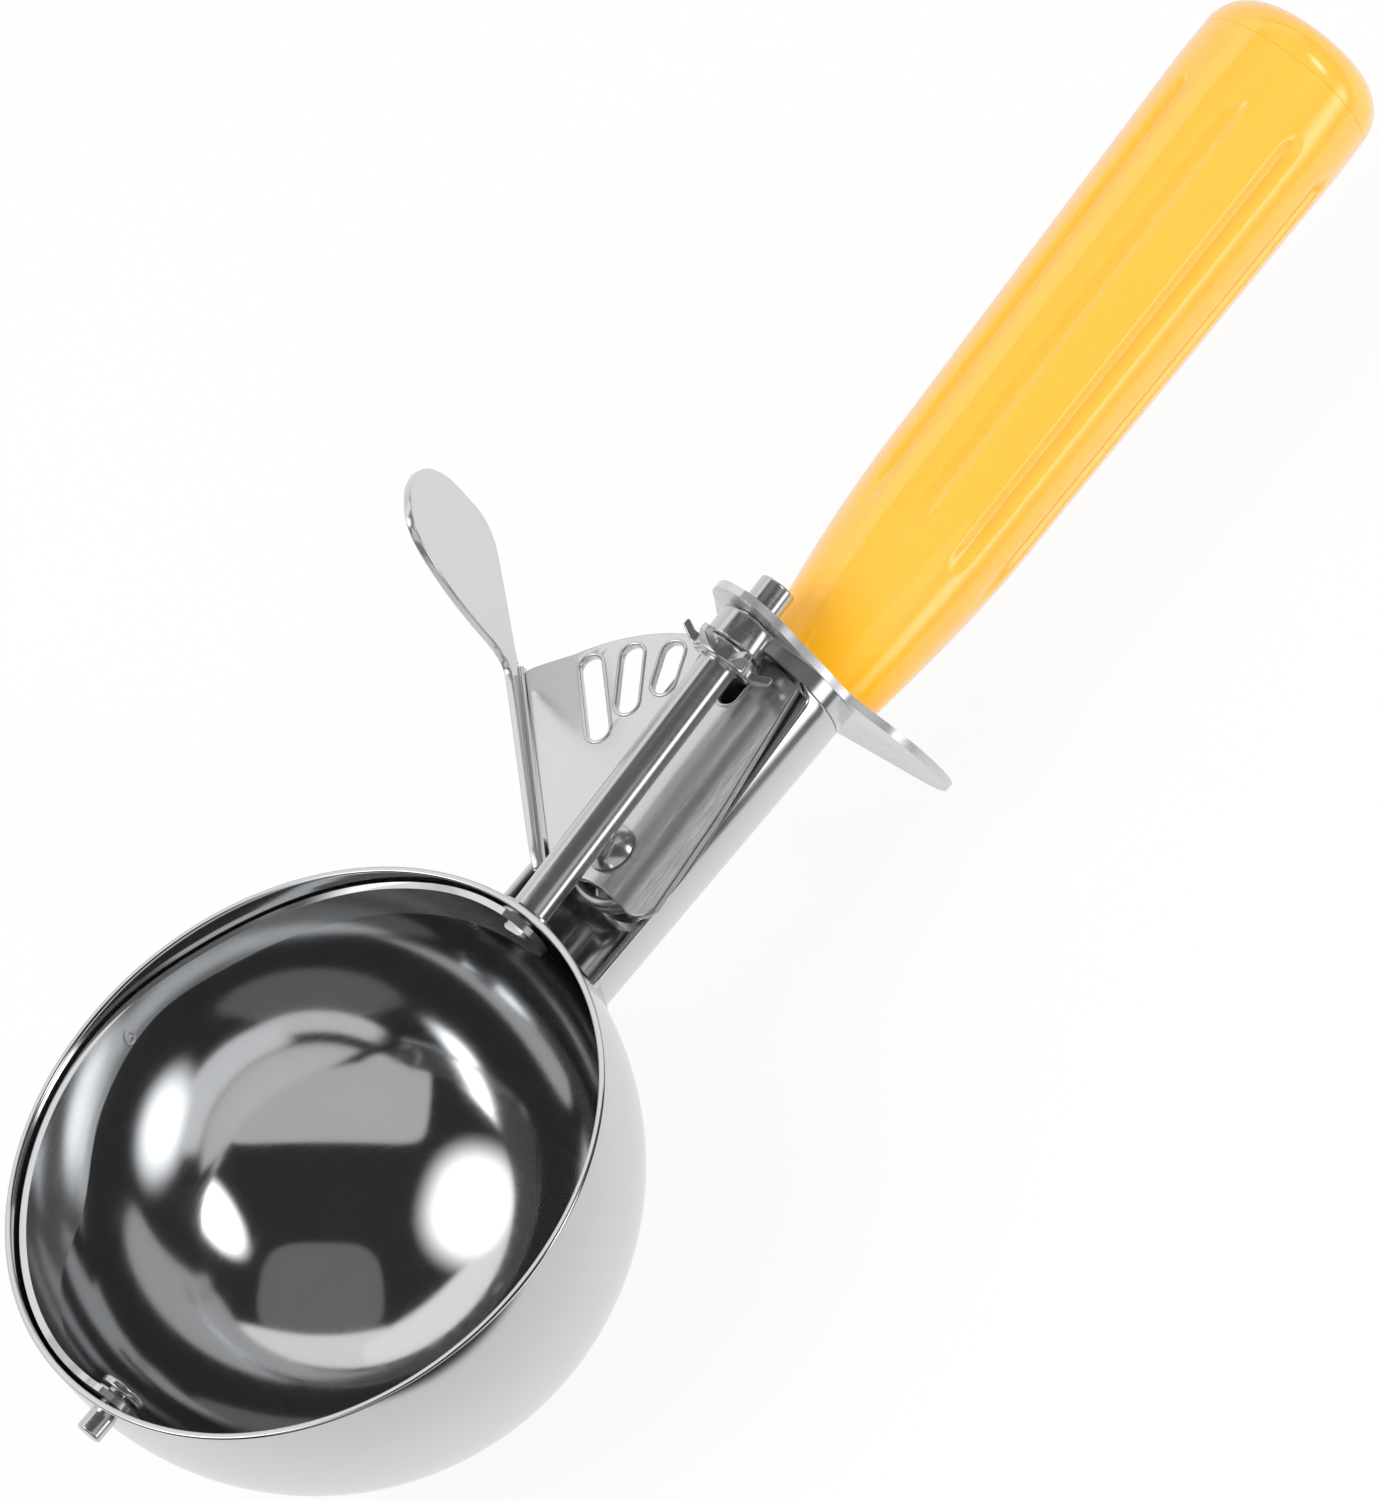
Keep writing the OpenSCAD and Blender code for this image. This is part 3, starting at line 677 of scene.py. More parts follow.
# Colour, lines, roughness, height of the waves, share of metal, depth of the pits, painted shade.
STEELS = {
    "spun_steel": ("sheet_steel", round_lines, 0.085, 18e-6),
    "sheet_steel": ("sheet_steel", long_lines, 0.14, 10e-6, 0.9, 0.0, painted_shade_in_tube),
    "blade_steel": ("sheet_steel", round_lines, 0.12, 8e-6, 0.9),
    "guard_steel": ("sheet_steel", no_lines, 0.26, 4e-6, 0.72),
    "lever_steel": ("sheet_steel", long_lines, 0.17, 6e-6, 0.8, 0.0, painted_shade_on_lever),
    "turned_steel": ("turned_steel", cross_lines, 0.2, 4e-6, 0.92, 0.22),
    "spring_wire": ("spring_steel", cross_lines, 0.24, 2e-6, 0.8, 0.1),
}
FINISHES = {}


def finish_of(name):
    """Each finish is made once, when a piece first asks for it."""
    if name not in FINISHES:
        if name in STEELS:
            shade, *rest = STEELS[name]
            FINISHES[name] = steel(name, tuple(getattr(colours(), shade)), *rest)
        else:
            FINISHES[name] = grip_plastic()
    return FINISHES[name]


# ---- bowl

def make_bowl():
    """The bowl's sheet with its rolled rim."""
    s = sizes()
    inner = s.bowl_radius - s.bowl_wall
    rim = 0.3 * MM
    profile = arc(0, -s.collar, s.bowl_radius, -90, 0, 72)
    profile += eased_path([(s.bowl_radius, -s.collar, 0), (s.bowl_radius, 0, rim), (inner, 0, rim),
                           (inner, -s.collar, 0)])[1:-1]
    profile += arc(0, -s.collar, inner, 0, -90, 72)
    profile[0].x = profile[-1].x = 0
    return turned_piece("spun_bowl", profile, None, FINE)


def make_front_pin():
    """A pin with a flat head inside the bowl."""
    radius = sizes().pin_radius
    low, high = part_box("front_pin")
    head = half_width("front_pin")
    under = high.x - 1.0 * MM
    ease = 0.25 * MM
    profile = eased_path([(0, low.x, 0), (radius, low.x, 0.35 * MM), (radius, under, 0),
                          (head, under, ease), (head, high.x, ease), (0, high.x, 0)])
    return turned_piece("front_pin_turned", profile, along_blade())


# ---- blade

# Places along the blade and heights over its axis, in mm.
BLADE_TOP = smooth_line([
    (-39, 4.6), (-36, 3.4), (-27, 2.9), (-10, 3.1), (2, 2.6),
    (15, 1.3), (25, 1.4), (35, 2.8), (39, 4.6)], 6)
BLADE_LOW = smooth_line([
    (-39, -4.4), (-36, -3.9), (-30, -5.9), (-20, -8.9), (-8, -5.0),
    (5, -2.3), (17, -3.3), (30, -3.3), (37, -3.3), (39, -4.4)], 6)


def blade_edges(x):
    """Heights of the blade's upper and lower edge over its axis."""
    def height(line):
        """The line's height at x."""
        for a, b in zip(line, line[1:]):
            if x / MM <= b.x:
                t = (x / MM - a.x) / (b.x - a.x)
                return (a.y + (b.y - a.y) * t) * MM
        return line[-1].y * MM

    return height(BLADE_TOP), height(BLADE_LOW)


def make_blade():
    """A curved band with a round ear at each end."""
    s = sizes()
    outer = s.bowl_radius - s.bowl_wall - s.blade_gap
    inner = outer - s.blade_thick
    ear = math.degrees(math.asin(s.blade_ear / outer))
    across = 10
    spots = [-90 - ear * math.cos(math.radians(a)) for a in range(2, 90, 8)]
    spots += [-90 + 180 * k / 150 for k in range(151)]
    spots += [90 + ear * math.sin(math.radians(a)) for a in range(8, 90, 8)]
    surfaces = []
    for radius in (inner, outer):
        rows = []
        for spot in spots:
            a = math.radians(spot)
            off_pole = abs(abs(spot) - 90) / ear
            ear_reach = ear * math.sqrt(max(0.0, 1 - off_pole ** 2))
            top, low = ear_reach, -ear_reach
            if abs(spot) <= 90:
                z_top, z_low = blade_edges(outer * math.sin(a))
                top = max(top, math.degrees(math.asin(z_top / outer)))
                low = min(low, math.degrees(math.asin(z_low / outer)))
            row = []
            for k in range(across + 1):
                t = math.radians(low + (top - low) * k / across)
                row.append((radius * math.cos(t) * math.sin(a), radius * math.cos(t) * math.cos(a),
                            radius * math.sin(t) - s.collar))
            rows.append(row)
        surfaces.append(rows)
    return walled_grid("scraper_band", *surfaces, 0.18 * MM)


def make_size_number():
    """A plain raised 6, the size of the scoop, on the blade's inner face."""
    s = sizes()
    radius = s.bowl_radius - s.bowl_wall - s.blade_gap - s.blade_thick - 0.12 * MM
    centre_along, centre_up = math.radians(1), -1.3 * MM / radius
    tall = 2.1 * MM
    bowl_of_six = arc(0, -0.22, 0.28, 0, 360, 20)
    stem = arc(0.42, -0.22, 0.70, 180, 112, 10)
    points = []
    for line in (stem[::-1], bowl_of_six[10:] + bowl_of_six[1:11]):
        for spot in line:
            along = centre_along + spot.x * tall / radius
            up = centre_up + spot.y * tall / radius
            points.append((radius * math.cos(up) * math.sin(along),
                           radius * math.cos(up) * math.cos(along),
                           radius * math.sin(up) - s.collar))
    return swept_wire("size_number", points, 0.26 * MM, Matrix.Identity(4), 3)


# ---- shaft

def make_shaft():
    """The rod, and the flat tongue that drives the blade."""
    s = sizes()
    flat = 1.3 * MM
    tongue_start = -2.2 * MM
    body = eased_path([
        (0, -0.3 * MM, 0), (s.shaft_radius, -0.3 * MM, 0.15 * MM),
        (s.shaft_radius, s.shaft_length, 0.35 * MM), (0, s.shaft_length, 0)])
    rod = turned_piece("drive_rod", body, along_shaft())
    half = 1.8 * MM
    side = eased_path([
        (-half, -half, 0.9 * MM), (half, -half, 0.9 * MM), (half, half, 0), (-half, half, 0)],
        closed=True)
    tongue = cut_sheet(
        "drive_tongue", side, [], flat,
        at_shaft() @ shift(tongue_start + half, 0, -flat / 2) @ turn(-90, "Z"), 0.15 * MM)
    return rod, tongue


def make_pinion():
    """A pressed ring of six bent claws on a short hub."""
    s = sizes()
    ring = 0.6 * MM
    hub = eased_path([
        (s.shaft_radius + 0.02 * MM, -1.0 * MM, 0.2 * MM), (s.hub_radius, -1.0 * MM, 0.35 * MM),
        (s.hub_radius, 1.4 * MM, 0.35 * MM), (s.shaft_radius + 0.02 * MM, 1.4 * MM, 0.2 * MM)],
        closed=True)
    pieces = [turned_piece("pinion_hub", hub, along_shaft(s.pinion_at))]
    root, bend, lean = s.hub_radius - 0.8 * MM, s.hub_radius + 0.6 * MM, 1.0 * MM
    side = eased_path([
        (ring, root, 0), (ring, bend, 0.8 * MM), (ring + lean, s.pinion_radius, 0.3 * MM),
        (lean - ring, s.pinion_radius, 0.15 * MM), (-ring, bend, 0.5 * MM), (-ring, root, 0)],
        closed=True)
    root_half, tip_half = 1.05 * MM, 0.5 * MM
    points = []
    for sign in (-1, 1):
        for spot in side:
            t = min(max((spot.y - bend) / (s.pinion_radius - bend), 0), 1)
            points.append((spot.x, sign * (root_half + (tip_half - root_half) * t), spot.y))
    for i in range(CLAWS):
        place = at_shaft() @ shift(s.pinion_at) @ turn(180 + 360 / CLAWS * i, "X")
        claw = mesh_piece(f"pinion_claw_{i + 1}", points, prism_faces(len(side)), place)
        pieces.append(eased_edges(claw, 0.12 * MM, 50))
    return pieces


def make_bearing():
    """A round bearing in front of the guard."""
    low, high = 42.4 * MM, 46.3 * MM
    outer, bore = 3.9 * MM, sizes().shaft_radius + 0.05 * MM
    ring = eased_path([(bore, low, 0.2 * MM), (outer, low, 0.45 * MM), (outer, high, 0.2 * MM),
                       (bore, high, 0.1 * MM)], closed=True)
    return turned_piece("shaft_bearing_turned", ring, along_shaft())


# ---- shank

def shank_cut_height(x):
    """Height of the open trough's edge at a place along the shank."""
    s = sizes()
    low = -s.shank_drop + 0.8 * MM
    root = s.bowl_radius - s.bowl_wall / 2
    slope = math.tan(s.shaft_tilt)
    lip = -s.collar - (s.plate_drop + s.plate_thick + 0.4 * MM) / math.cos(s.shaft_tilt)
    lip += (x - root) * slope
    rise_start, rise_end = 54 * MM, 65 * MM
    t = min(max((x - rise_start) / (rise_end - rise_start), 0), 1)
    t = t * t * (3 - 2 * t)
    return low + (max(lip, low) - low) * t


def make_shank():
    """The round tube, open on top, closed again just before the guard."""
    s = sizes()
    closed_from = s.closed_from
    corner = 1.8 * MM
    half_turns = 28
    radii = (s.shank_radius, s.shank_radius - s.shank_wall)

    def wall_point(x, a, radius):
        """A point of the tube, its angle counted from the bottom."""
        return x, radius * math.sin(a), -s.shank_drop - radius * math.cos(a)

    def end_x(a):
        """Where the tube stops, at the guard's front face."""
        return s.guard_at - 0.03 * MM + guard_back(-math.cos(a) * s.shank_radius)

    def start_x(radius, a):
        """Where the tube starts, at the bowl's outside."""
        y, z = radius * math.sin(a), -s.shank_drop - radius * math.cos(a) + s.collar
        return math.sqrt(max(0.0, (s.bowl_radius + 0.03 * MM) ** 2 - y * y - z * z))

    def open_angle(x):
        """The wall's angle at the open edge."""
        height = shank_cut_height(x)
        if x > closed_from - corner:
            t = min((x - closed_from + corner) / corner, 1)
            height += corner * (1 - math.sqrt(max(0, 1 - t * t)))
        return math.pi - math.acos(min(max((height + s.shank_drop) / s.shank_radius, -1), 1))

    surfaces = []
    for radius in radii:
        rows = []
        for station in (k / 80 for k in range(81)):
            x_mid = 36 * MM + (closed_from - 36 * MM) * station
            row = []
            for k in range(-half_turns, half_turns + 1):
                first = start_x(radius, open_angle(x_mid) * k / half_turns)
                x = first + (closed_from - first) * station
                row.append(wall_point(x, open_angle(x) * k / half_turns, radius))
            rows.append(row)
        surfaces.append(rows)
    trough = walled_grid("shank_trough", *surfaces, 0.3 * MM)

    angles = [-math.pi + math.pi * k / half_turns for k in range(2 * half_turns + 1)]
    ring = [[[wall_point(closed_from + (end_x(a) - closed_from) * k / 4, a, radius)
              for a in angles] for k in range(5)] for radius in radii]
    return trough, walled_grid("shank_collar", *ring)


def make_lips():
    """Flat lips between the shank's walls, under the lever's sheet."""
    s = sizes()
    half = [(14, 9.3), (19, 9.1), (27, 8.6), (37.7, 7.5), (42, 6.6), (43.3, 5.4), (43.6, 3.4)]
    near = [(x * MM, -y * MM) for x, y in half]
    far = [(x * MM, y * MM) for x, y in reversed(half)]
    window = smooth_line(near + far, 3)
    outline = []
    for x in range(17, 45):
        along = at_shaft() @ Vector((x * MM, 0, 0))
        drop = along.z - (s.plate_drop + s.plate_thick + 0.9 * MM) + s.shank_drop
        inside = s.shank_radius - 0.5 * MM
        outline.append((x * MM, math.sqrt(max(inside ** 2 - drop ** 2, 0))))
    loop = [(x, -y) for x, y in outline] + outline[::-1]
    loop += [(x, y) for x, y in reversed(window) if x > 17 * MM]
    lip_thick = 1.0 * MM
    top = s.plate_drop + s.plate_thick + 0.4 * MM
    return cut_sheet("shank_lips", loop, [], lip_thick,
                     at_shaft() @ shift(0, 0, -top - lip_thick), 0.15 * MM)


# ---- lever

# The bend between sector and thumb pad, seen from above the post: its two ends and its direction.
NECK = Vector((12.75, 29.3)) * MM
FLANGE_START = Vector((-6.8, 6.5)) * MM
FLANGE_DIRECTION = 48.5
LEVER_ROUND = 0.28 * MM  # rounding of the stamping's edges
SLOT_PITCH = 12  # degrees
SLOT_STARTS = (22.7, 23.8, 21.7, 19.2, 16.3)  # radius of each slot's inner end, in mm


def lever_slots(wider=0.0):
    """Outlines of the sector's slots, each set off outward by the same amount."""
    s = sizes()
    r = s.slot_width / 2
    for i, inner in enumerate(SLOT_STARTS):
        low, high = inner * MM + r, s.slot_reach - r
        line = arc(high, 0, r + wider, -90, 90, 16) + arc(low, 0, r + wider, 90, 270, 16)
        spin = Matrix.Rotation(math.radians(SLOT_PITCH * i), 2)
        yield [spin @ p for p in line]


def make_lever():
    """The slotted sector, its rolled bend, and the thumb pad: one pressed sheet."""
    s = sizes()
    inside = (NECK - FLANGE_START).normalized()
    inward = Vector((inside.y, -inside.x))
    bend = 1.0 * MM
    neck_in = NECK + inward * bend
    start_in = FLANGE_START + inward * bend
    sector = arc(0, 0, s.sector_radius, -15.4, 52, 60)
    easing = smooth_line(
        [sector[-1], Vector((16.0, 26.7)) * MM, Vector((14.6, 28.0)) * MM, neck_in], 4)
    near = eased_path([(-3.4, -11.38, 1), (10, -10.5, 12), (29.3, -8.1, 0.6), (30.3, -6.5, 0)], 6)
    near = [p * MM for p in near[2:-1]]
    lobe = [p * MM for p in arc(-3, -8.4, 3, 262, 150, 14)]
    hub = [p * MM for p in smooth_line([(-5.35, -5.0), (-4.9, -2.4), (-5.1, 0.6), (-6.0, 3.2)], 4)]
    outline = sector + easing[1:] + [start_in] + hub[::-1] + lobe[::-1] + near
    hole = arc(0, 0, 2.45 * MM, 0, 360, 48)[:-1]
    bottom = -s.plate_drop - s.plate_thick
    plate = cut_sheet("lever_sector", outline, [hole] + list(lever_slots()), s.plate_thick,
                      at_post() @ shift(0, 0, bottom), LEVER_ROUND)

    neck = at_post() @ shift(NECK.x, NECK.y, -s.plate_drop)
    fold = neck @ turn(FLANGE_DIRECTION, "Z") @ turn(90, "X")
    run = (NECK - FLANGE_START).length
    left = [(0.55, 7), (0.8, 11.5), (1.3, 16), (2.1, 20), (3.2, 23.6), (4.4, 26.1), (5.9, 27.6),
            (7.4, 28.1), (9.2, 28.1), (11.3, 27.7), (13.1, 26.9), (16, 24.8), (18.5, 21.9),
            (20, 19), (21, 15.9), (21.3, 13), (21.3, 10), (21.2, 7.4), (20.6, 5.2), (18.9, 3.4),
            (17, 2.7), (14.9, 2.3), (8, 1.3), (3, 0.6), (1.3, 0.1)]
    flange = [(-run / MM + 0.2, 0.9), (-run / MM + 3, 1.5), (-run / MM + 9, 1.86),
              (-run / MM + 18, 2.25), (-3, 2.7), (-0.7, 3.3), (0.2, 5.0)]
    upper = smooth_line([Vector(p) * MM for p in flange + left], 3)
    foot = [Vector((1.0 * MM, bend * 0.6)), Vector((-run + 0.2 * MM, bend * 0.6))]
    pad = cut_sheet("thumb_pad", upper + foot, [], s.plate_thick,
                    fold @ shift(0, 0, -s.plate_thick / 2), LEVER_ROUND)

    half = s.plate_thick / 2
    section = arc(bend, bend, bend - half, 180, 270, 8) + arc(bend, bend, bend + half, 270, 180, 8)
    points = [(along, spot.y - half, spot.x) for along in (-run, 0.9 * MM) for spot in section]
    roll = mesh_piece("lever_bend", points, prism_faces(len(section)), fold)
    beads = [swept_wire("slot_bead", [(p.x, p.y, 0) for p in line], 0.3 * MM,
                        at_post() @ shift(0, 0, -s.plate_drop - 0.12 * MM), 3, True)
             for line in lever_slots(0.25 * MM)]
    return plate, pad, roll, *beads


def make_post():
    """The post with its domed head."""
    head_z = -sizes().plate_drop + 0.3 * MM
    stem, head, dome = 2.4 * MM, 3.4 * MM, 1.8 * MM
    radius = (head ** 2 + dome ** 2) / (2 * dome)
    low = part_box("post_seat")[0].z + 0.4 * MM
    foot = (at_post().inverted() @ Vector((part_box("lever_post")[0].x + 3 * MM, 0, low))).z
    sweep = math.degrees(math.asin(head / radius))
    corners = (0, foot), (stem, foot), (stem, head_z), (head - 0.2 * MM, head_z)
    profile = [Vector(corner) for corner in corners]
    profile += arc(0, head_z + dome - radius, radius, 90 - sweep + 3, 90, 20)
    profile[-1].x = 0
    return turned_piece("lever_post_turned", profile, at_post())


def make_spring():
    """The return spring: two coils and two short legs."""
    s = sizes()
    coil, wire, turns, leg, leg_long = 6.2 * MM, 0.65 * MM, 2, 75, 7.4 * MM
    pitch = 2 * wire + 0.08 * MM
    turned = 360 * turns + 2 * leg
    steps = 96
    top = s.plate_drop + s.plate_thick + 0.35 * MM
    height = turned / 360 * pitch
    points = []
    for k in range(steps + 1):
        a = math.radians(-leg + turned * k / steps)
        points.append(Vector((coil * math.cos(a), coil * math.sin(a), height * k / steps)))
    first, end = math.radians(-leg), math.radians(turned - leg)
    points.insert(0, points[0] - leg_long * Vector((-math.sin(first), math.cos(first), 0)))
    points.append(points[-1] + leg_long * Vector((-math.sin(end), math.cos(end), 0)))
    place = at_post() @ shift(0, 0, -top - wire - height)
    return swept_wire("coil_spring", points, wire, place, 4)


# ---- guard

def guard_outline():
    """Half widths and heights of the guard in mm, from the top down."""
    s = sizes()
    wide, low = s.guard_half_width / MM, s.guard_low / MM
    top, tube = s.guard_top / MM, s.shank_radius / MM
    return [(1.2, top), (2.4, top - 0.35), (3.9, top - 1.4), (5.6, top - 3.4),
            (7, 10), (8.5, 7), (9.7, 4), (tube, 1.2), (tube + 0.7, -0.8),
            (wide - 3.2, -3.0), (wide - 1.2, -6), (wide - 0.25, -9.5), (wide, -13), (wide, -17),
            (wide - 0.5, 3.5 - low), (wide - 1.7, 1.4 - low), (wide - 4, 0.3 - low),
            (wide - 7, -low)]


def make_guard():
    """A pear-shaped plate, its wide lower part swept toward the grip."""
    s = sizes()
    surfaces = [[], []]
    for wide, z in smooth_line(guard_outline(), 3):
        wide, z = wide * MM, z * MM
        x = s.guard_at + guard_back(z)
        for surface, back in zip(surfaces, (0, s.guard_thick)):
            surface.append([(x + back, wide * (k / 12 - 1), z - s.shank_drop) for k in range(25)])
    plate = walled_grid("guard_plate_pressed", *surfaces)
    bore = s.shaft_radius + 0.35 * MM
    drill = turned_piece("drill", [(0, 0), (bore, 0), (bore, 20 * MM), (0, 20 * MM)],
                         along_shaft(40 * MM))
    cut = plate.modifiers.new("bore", "BOOLEAN")
    cut.object = drill
    plate = baked(plate)
    bpy.data.meshes.remove(drill.data)
    smooth(plate.data)
    return even_normals(plate)


# ---- handle

GROOVE_START = math.radians(6.6)  # turn of the first groove from the top


def grip_radius(z):
    """Radius of the grip at a distance from the guard."""
    s = sizes()
    end = s.grip_length - s.cap_length
    if z < s.grip_swell:
        rise = math.sin(math.pi / 2 * z / s.grip_swell)
        return s.grip_start + (s.grip_middle - s.grip_start) * rise
    share = (z - s.grip_swell) / (end - s.grip_swell)
    easing = 9 * MM
    fade = max(z - end + easing, 0.0) / easing
    return s.grip_middle + (s.grip_end - s.grip_middle) * min(1.0, share) - 0.25 * MM * fade ** 2


def groove_cut(around, z, radius):
    """Depth that the grooves take at an angle round the grip and a distance along it."""
    s = sizes()
    pitch = 2 * math.pi / s.groove_count
    off = ((around - GROOVE_START + pitch / 2) % pitch - pitch / 2) * radius
    start, end = 22.5 * MM, s.grip_length - s.cap_length - 10 * MM
    beyond = max(start - z, z - end, 0.0)
    half = s.groove_width / 2
    reach = math.hypot(off, beyond * 0.7) / half
    if reach >= 1.25:
        return 0.0
    run_in = min(max((z - start + 4 * MM) / (9 * MM), 0), 1)
    bowl = 1 - min(reach / 1.25, 1) ** 2
    return s.groove_depth * bowl ** 1.4 * run_in


def make_grip():
    """The grip, with more points near its grooves. It starts at the swept guard's back."""
    s = sizes()
    end = s.grip_length - s.cap_length
    per_groove, rows = 28, 116
    around = []
    pitch = 2 * math.pi / s.groove_count
    for g in range(s.groove_count):
        for k in range(per_groove):
            u = k / per_groove * 2 - 1
            around.append(GROOVE_START + pitch * (g + 0.5 * (0.45 * u + 0.55 * u ** 3)))
    points, faces = [], []
    steps = len(around)
    tilt, under = math.tan(s.handle_tilt), s.shank_drop - s.handle_drop
    for i in range(rows + 1):
        for a in around:
            up = -s.grip_start * math.cos(a)
            first = guard_back(up + under) + 0.05 * MM + tilt * (up + under)
            z = first + (end - first) * i / rows
            r = grip_radius(z)
            r -= groove_cut(a, z, r)
            points.append((r * math.cos(a), r * math.sin(a), z))
    for i in range(rows):
        for k in range(steps):
            n = (k + 1) % steps
            faces.append([i * steps + k, i * steps + n, (i + 1) * steps + n, (i + 1) * steps + k])
    faces += [list(range(steps - 1, -1, -1)), [rows * steps + k for k in range(steps)]]
    return mesh_piece("grip_moulded", points, faces, along_handle(), 60)


def make_butt_cap():
    """The grip's rounded end."""
    s = sizes()
    start = s.grip_length - s.cap_length + 0.02 * MM
    radius = grip_radius(start)
    end = s.grip_length - 0.5 * MM
    corner, crown = 5.5 * MM, 30 * MM
    profile = [Vector((0, start)), Vector((radius - 0.06 * MM, start)),
               Vector((radius, start + 0.05 * MM))]
    profile += arc(radius - corner, end - corner, corner, 0, 78, 20)
    profile += arc(0, end - crown, crown, 75, 90, 10)[2:]
    profile[-1].x = 0
    return turned_piece("grip_end_cap", profile, along_handle(), FINE, 40)


# ---- stage

CAMERA_PLACE = Vector((-143.5, -642.7, 755.5)) * MM
CAMERA_ROTATION = (2.15547105, -1.10129264, -0.13929063)
PICTURE_HEIGHT = 1500
FOCAL_PIXELS = 8278.6
SENSOR = 36.0  # height of the sensor, in mm


def camera_axes():
    """Rows: to the right of the picture, down the picture, and forward."""
    spin = Vector(CAMERA_ROTATION)
    rows = Matrix.Rotation(spin.length, 3, spin.normalized())
    return [Vector(row) for row in rows]


def make_camera():
    """The camera, a long lens over the front of the bowl."""
    right, down, forward = camera_axes()
    data = bpy.data.cameras.new("camera")
    data.sensor_fit = "VERTICAL"
    data.sensor_height = SENSOR
    data.lens = FOCAL_PIXELS / PICTURE_HEIGHT * SENSOR
    data.clip_start = 0.05
    data.clip_end = 20
    camera = new_object("camera", data)
    axes = Matrix((right, -down, -forward)).transposed()
    camera.matrix_world = Matrix.Translation(CAMERA_PLACE) @ axes.to_4x4()
    bpy.context.scene.camera = camera


# Bright and grey panels of the studio: place (right, up, toward the viewer), half length, half
# width, level, soft edge, and how square the panel is: 2 is an oval, 8 nearly a rectangle.
PANELS = (
    ((-0.83, 0.25, 0.50), 0.28, 0.30, 2.4, 0.6, 2.2),
    ((0.62, 0.34, 0.71), 0.21, 0.10, 5.0, 0.7, 2),
    ((0.0, 0.78, 0.62), 0.38, 0.37, 0.16, 0.05, 3.2),
    ((0.0, -0.42, 0.90), 0.80, 0.36, 0.50, 0.04, 7),
    ((0.85, -0.36, 0.34), 0.38, 0.15, 2.4, 0.7, 2.2),
    ((0.0, 0.96, 0.24), 0.50, 0.15, 0.80, 0.15, 6),
    ((-0.73, 0.66, 0.17), 0.75, 0.22, 0.90, 0.15, 8),
)


def make_world():
    """Plain light for matt surfaces, and a table with soft panels for polished ones."""
    world = bpy.data.worlds.new("studio")
    world.use_nodes = True
    bpy.context.scene.world = world
    kit = Kit(world.node_tree)
    right, down, forward = camera_axes()
    toward, up = -forward, -down
    aim = kit.node("ShaderNodeTexCoord", output=0)
    height = kit.dot(aim, toward)
    table = 1.0 - kit.step(height, -0.10, -0.02)
    table = table * (0.68 + 0.12 * kit.step(-height, 0.0, 0.8))
    level = 0.03 + table
    for (r, u, t), half_long, half_wide, bright, soft, square in PANELS:
        middle = (right * r + up * u + toward * t).normalized()
        across = toward.cross(middle).normalized()
        over = middle.cross(across)
        front = kit.dot(aim, middle)
        ahead = front.larger(0.001)
        x = abs(kit.dot(aim, across) / ahead)
        y = abs(kit.dot(aim, over) / ahead)
        reach = ((x / half_long) ** square + (y / half_wide) ** square) ** (1 / square)
        mask = (1.0 - kit.step(reach, 1 - soft, 1 + soft)) * kit.step(front, 0.0, 0.05)
        level = level.larger(mask * bright)
    seen, shiny = kit.rays("Camera", "Glossy")
    matt_level = 0.66
    strength = shiny * level + (1.0 - shiny) * (seen + (1.0 - seen) * matt_level)
    shade = kit.node("ShaderNodeBackground", None, [(1, 1, 1, 1), strength])
    kit.node("ShaderNodeOutputWorld", None, [shade])


def make_lamp(name, place, target, width, height, power):
    """A soft lamp, its power in watts."""
    data = bpy.data.lights.new(name, "AREA")
    data.shape = "RECTANGLE"
    data.size, data.size_y = width, height
    data.energy = power
    lamp = new_object(name, data)
    lamp.location = place
    lamp.rotation_euler = (Vector(target) - Vector(place)).to_track_quat("-Z", "Y").to_euler()
    lamp.visible_glossy = False


def make_floor():
    """A pale floor that the camera sees as white, with the scoop's shadow."""
    low = CAD_BOUNDS[0][2] - 0.05 * MM
    half = 1.5
    mesh = bpy.data.meshes.new("floor")
    corners = [(-half, -half, low), (half, -half, low), (half, half, low), (-half, half, low)]
    mesh.from_pydata(corners, [], [(0, 1, 2, 3)])
    floor = new_object("floor", mesh)
    material, kit = new_material("pale_floor")
    camera, glossy, through = kit.rays("Camera", "Glossy", "Transmission")
    seen = camera.larger(glossy).larger(through)
    grain = kit.noise(40.0, 3.0, kit.place())
    matt = kit.node("ShaderNodeBsdfDiffuse", None,
                    [kit.mix(grain, rgb(colours().floor), rgb(colours().floor, 0.98))])
    white = kit.node("ShaderNodeEmission", None, [(1, 1, 1, 1), 1.0])
    surface = kit.node("ShaderNodeMixShader", None, [seen * 0.9, matt, white])
    kit.node("ShaderNodeOutputMaterial", None, [surface])
    mesh.materials.append(material)
    floor.visible_glossy = False


# ---- operators

class SCOOP_OT_bowl(bpy.types.Operator):
    """Spins the bowl and sets its front pin, washer, bush and braze"""

    bl_idname = "scoop.bowl"
    bl_label = "Bowl"

    def execute(self, context):
        finished(make_bowl(), "bowl", "spun_steel")
        finished(make_front_pin(), "front_pin", "turned_steel")
        dressed("turned_steel", "front_washer", "rear_bush", "bowl_fillet")
        return {"FINISHED"}


class SCOOP_OT_blade(bpy.types.Operator):
    """Bends the scraper blade and marks it with its size"""

    bl_idname = "scoop.blade"
    bl_label = "Scraper Blade"

    def execute(self, context):
        finished(make_blade(), "scraper_blade", "blade_steel")
        added(make_size_number(), "wiper", "guard_steel")
        return {"FINISHED"}


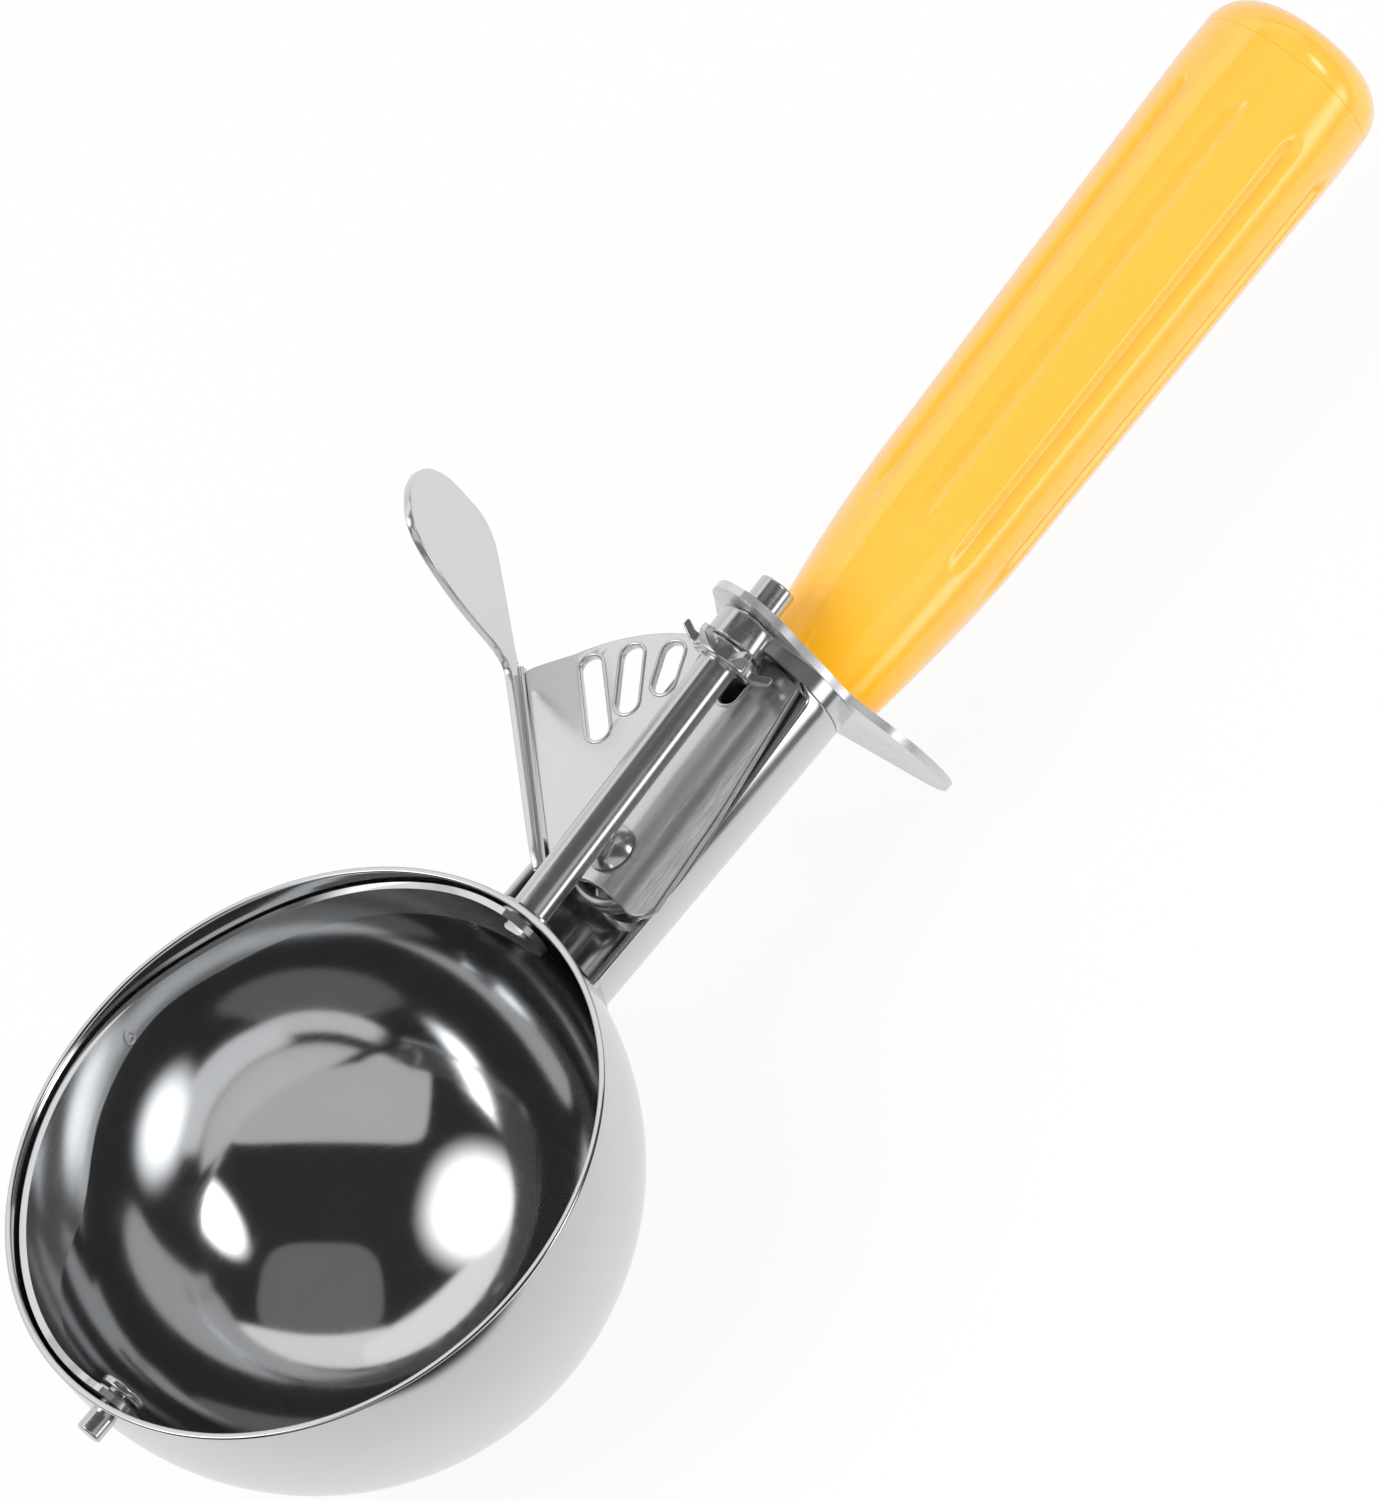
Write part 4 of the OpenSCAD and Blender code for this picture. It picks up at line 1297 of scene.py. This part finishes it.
class SCOOP_OT_shaft(bpy.types.Operator):
    """Turns the drive shaft with its tongue, its claws and its bearing"""

    bl_idname = "scoop.shaft"
    bl_label = "Drive Shaft"

    def execute(self, context):
        rod, tongue = make_shaft()
        finished(rod, "drive_shaft", "turned_steel")
        added(tongue, "drive", "turned_steel")
        hub, *claws = make_pinion()
        finished(hub, "pinion", "turned_steel")
        for claw in claws:
            added(claw, "drive", "turned_steel")
        finished(make_bearing(), "shaft_bearing", "turned_steel")
        dressed("turned_steel", "pinion_pin")
        return {"FINISHED"}


class SCOOP_OT_shank(bpy.types.Operator):
    """Forms the round-bottomed shank with its lips"""

    bl_idname = "scoop.shank"
    bl_label = "Shank"

    def execute(self, context):
        trough, collar = make_shank()
        finished(trough, "shank", "sheet_steel")
        added(collar, "frame", "sheet_steel")
        added(make_lips(), "frame", "sheet_steel")
        dressed("sheet_steel", "shank_plug")
        return {"FINISHED"}


class SCOOP_OT_lever(bpy.types.Operator):
    """Presses the lever and sets it on its post with the return spring"""

    bl_idname = "scoop.lever"
    bl_label = "Lever"

    def execute(self, context):
        plate, *others = make_lever()
        finished(plate, "lever", "lever_steel")
        for piece in others:
            added(piece, "lever", "lever_steel")
        finished(make_post(), "lever_post", "turned_steel")
        finished(make_spring(), "return_spring", "spring_wire")
        dressed("turned_steel", "post_seat", "lever_washer", "spring_sleeve")
        return {"FINISHED"}


class SCOOP_OT_guard(bpy.types.Operator):
    """Presses the pear-shaped guard plate"""

    bl_idname = "scoop.guard"
    bl_label = "Guard"

    def execute(self, context):
        finished(make_guard(), "guard_plate", "guard_steel")
        return {"FINISHED"}


class SCOOP_OT_grip(bpy.types.Operator):
    """Moulds the grooved grip and its end cap"""

    bl_idname = "scoop.grip"
    bl_label = "Grip"

    def execute(self, context):
        finished(make_grip(), "handle_grip", "amber_plastic")
        finished(make_butt_cap(), "butt_cap", "amber_plastic")
        dressed("turned_steel", "tang", "tang_nut")
        return {"FINISHED"}


class SCOOP_OT_stage(bpy.types.Operator):
    """Sets the camera, the floor, the lamps and the studio's panels"""

    bl_idname = "scoop.stage"
    bl_label = "Stage"

    def execute(self, context):
        make_camera()
        make_floor()
        make_world()
        make_lamp("key_lamp", (-0.45, 0.1, 0.9), (0.06, 0, 0), width=0.6, height=0.6, power=5.5)
        make_lamp("side_lamp", (0.55, -0.75, 0.35), (0.08, 0, 0), width=0.3, height=0.5, power=3.0)
        context.scene.view_settings.view_transform = "Standard"
        return {"FINISHED"}


OPERATORS = (
    SCOOP_OT_stage, SCOOP_OT_bowl, SCOOP_OT_blade, SCOOP_OT_shaft, SCOOP_OT_shank,
    SCOOP_OT_lever, SCOOP_OT_guard, SCOOP_OT_grip,
)


class SCOOP_PT_panel(bpy.types.Panel):
    """Lists the scoop's operators and sizes"""

    bl_label = "Ice Cream Scoop"
    bl_idname = "SCOOP_PT_panel"
    bl_space_type = "VIEW_3D"
    bl_region_type = "UI"
    bl_category = "Scoop"

    def draw(self, context):
        """A button for each piece, then the sizes and the colours."""
        column = self.layout.column(align=True)
        for operator in OPERATORS:
            column.operator(operator.bl_idname)
        for group in (context.scene.scoop_sizes, context.scene.scoop_colours):
            for name in group.__annotations__:
                self.layout.prop(group, name)


CLASSES = (ScoopSizes, ScoopColours, *OPERATORS, SCOOP_PT_panel)


def register():
    """Makes the scoop's sizes, colours, operators and panel known."""
    for item in CLASSES:
        bpy.utils.register_class(item)
    bpy.types.Scene.scoop_sizes = bpy.props.PointerProperty(type=ScoopSizes)
    bpy.types.Scene.scoop_colours = bpy.props.PointerProperty(type=ScoopColours)


def unregister():
    """Takes them away again."""
    del bpy.types.Scene.scoop_colours
    del bpy.types.Scene.scoop_sizes
    for item in reversed(CLASSES):
        bpy.utils.unregister_class(item)


def main():
    """Builds the whole scoop."""
    register()
    for operator in OPERATORS:
        group, name = operator.bl_idname.split(".")
        getattr(getattr(bpy.ops, group), name)()


if __name__ == "__main__":
    main()
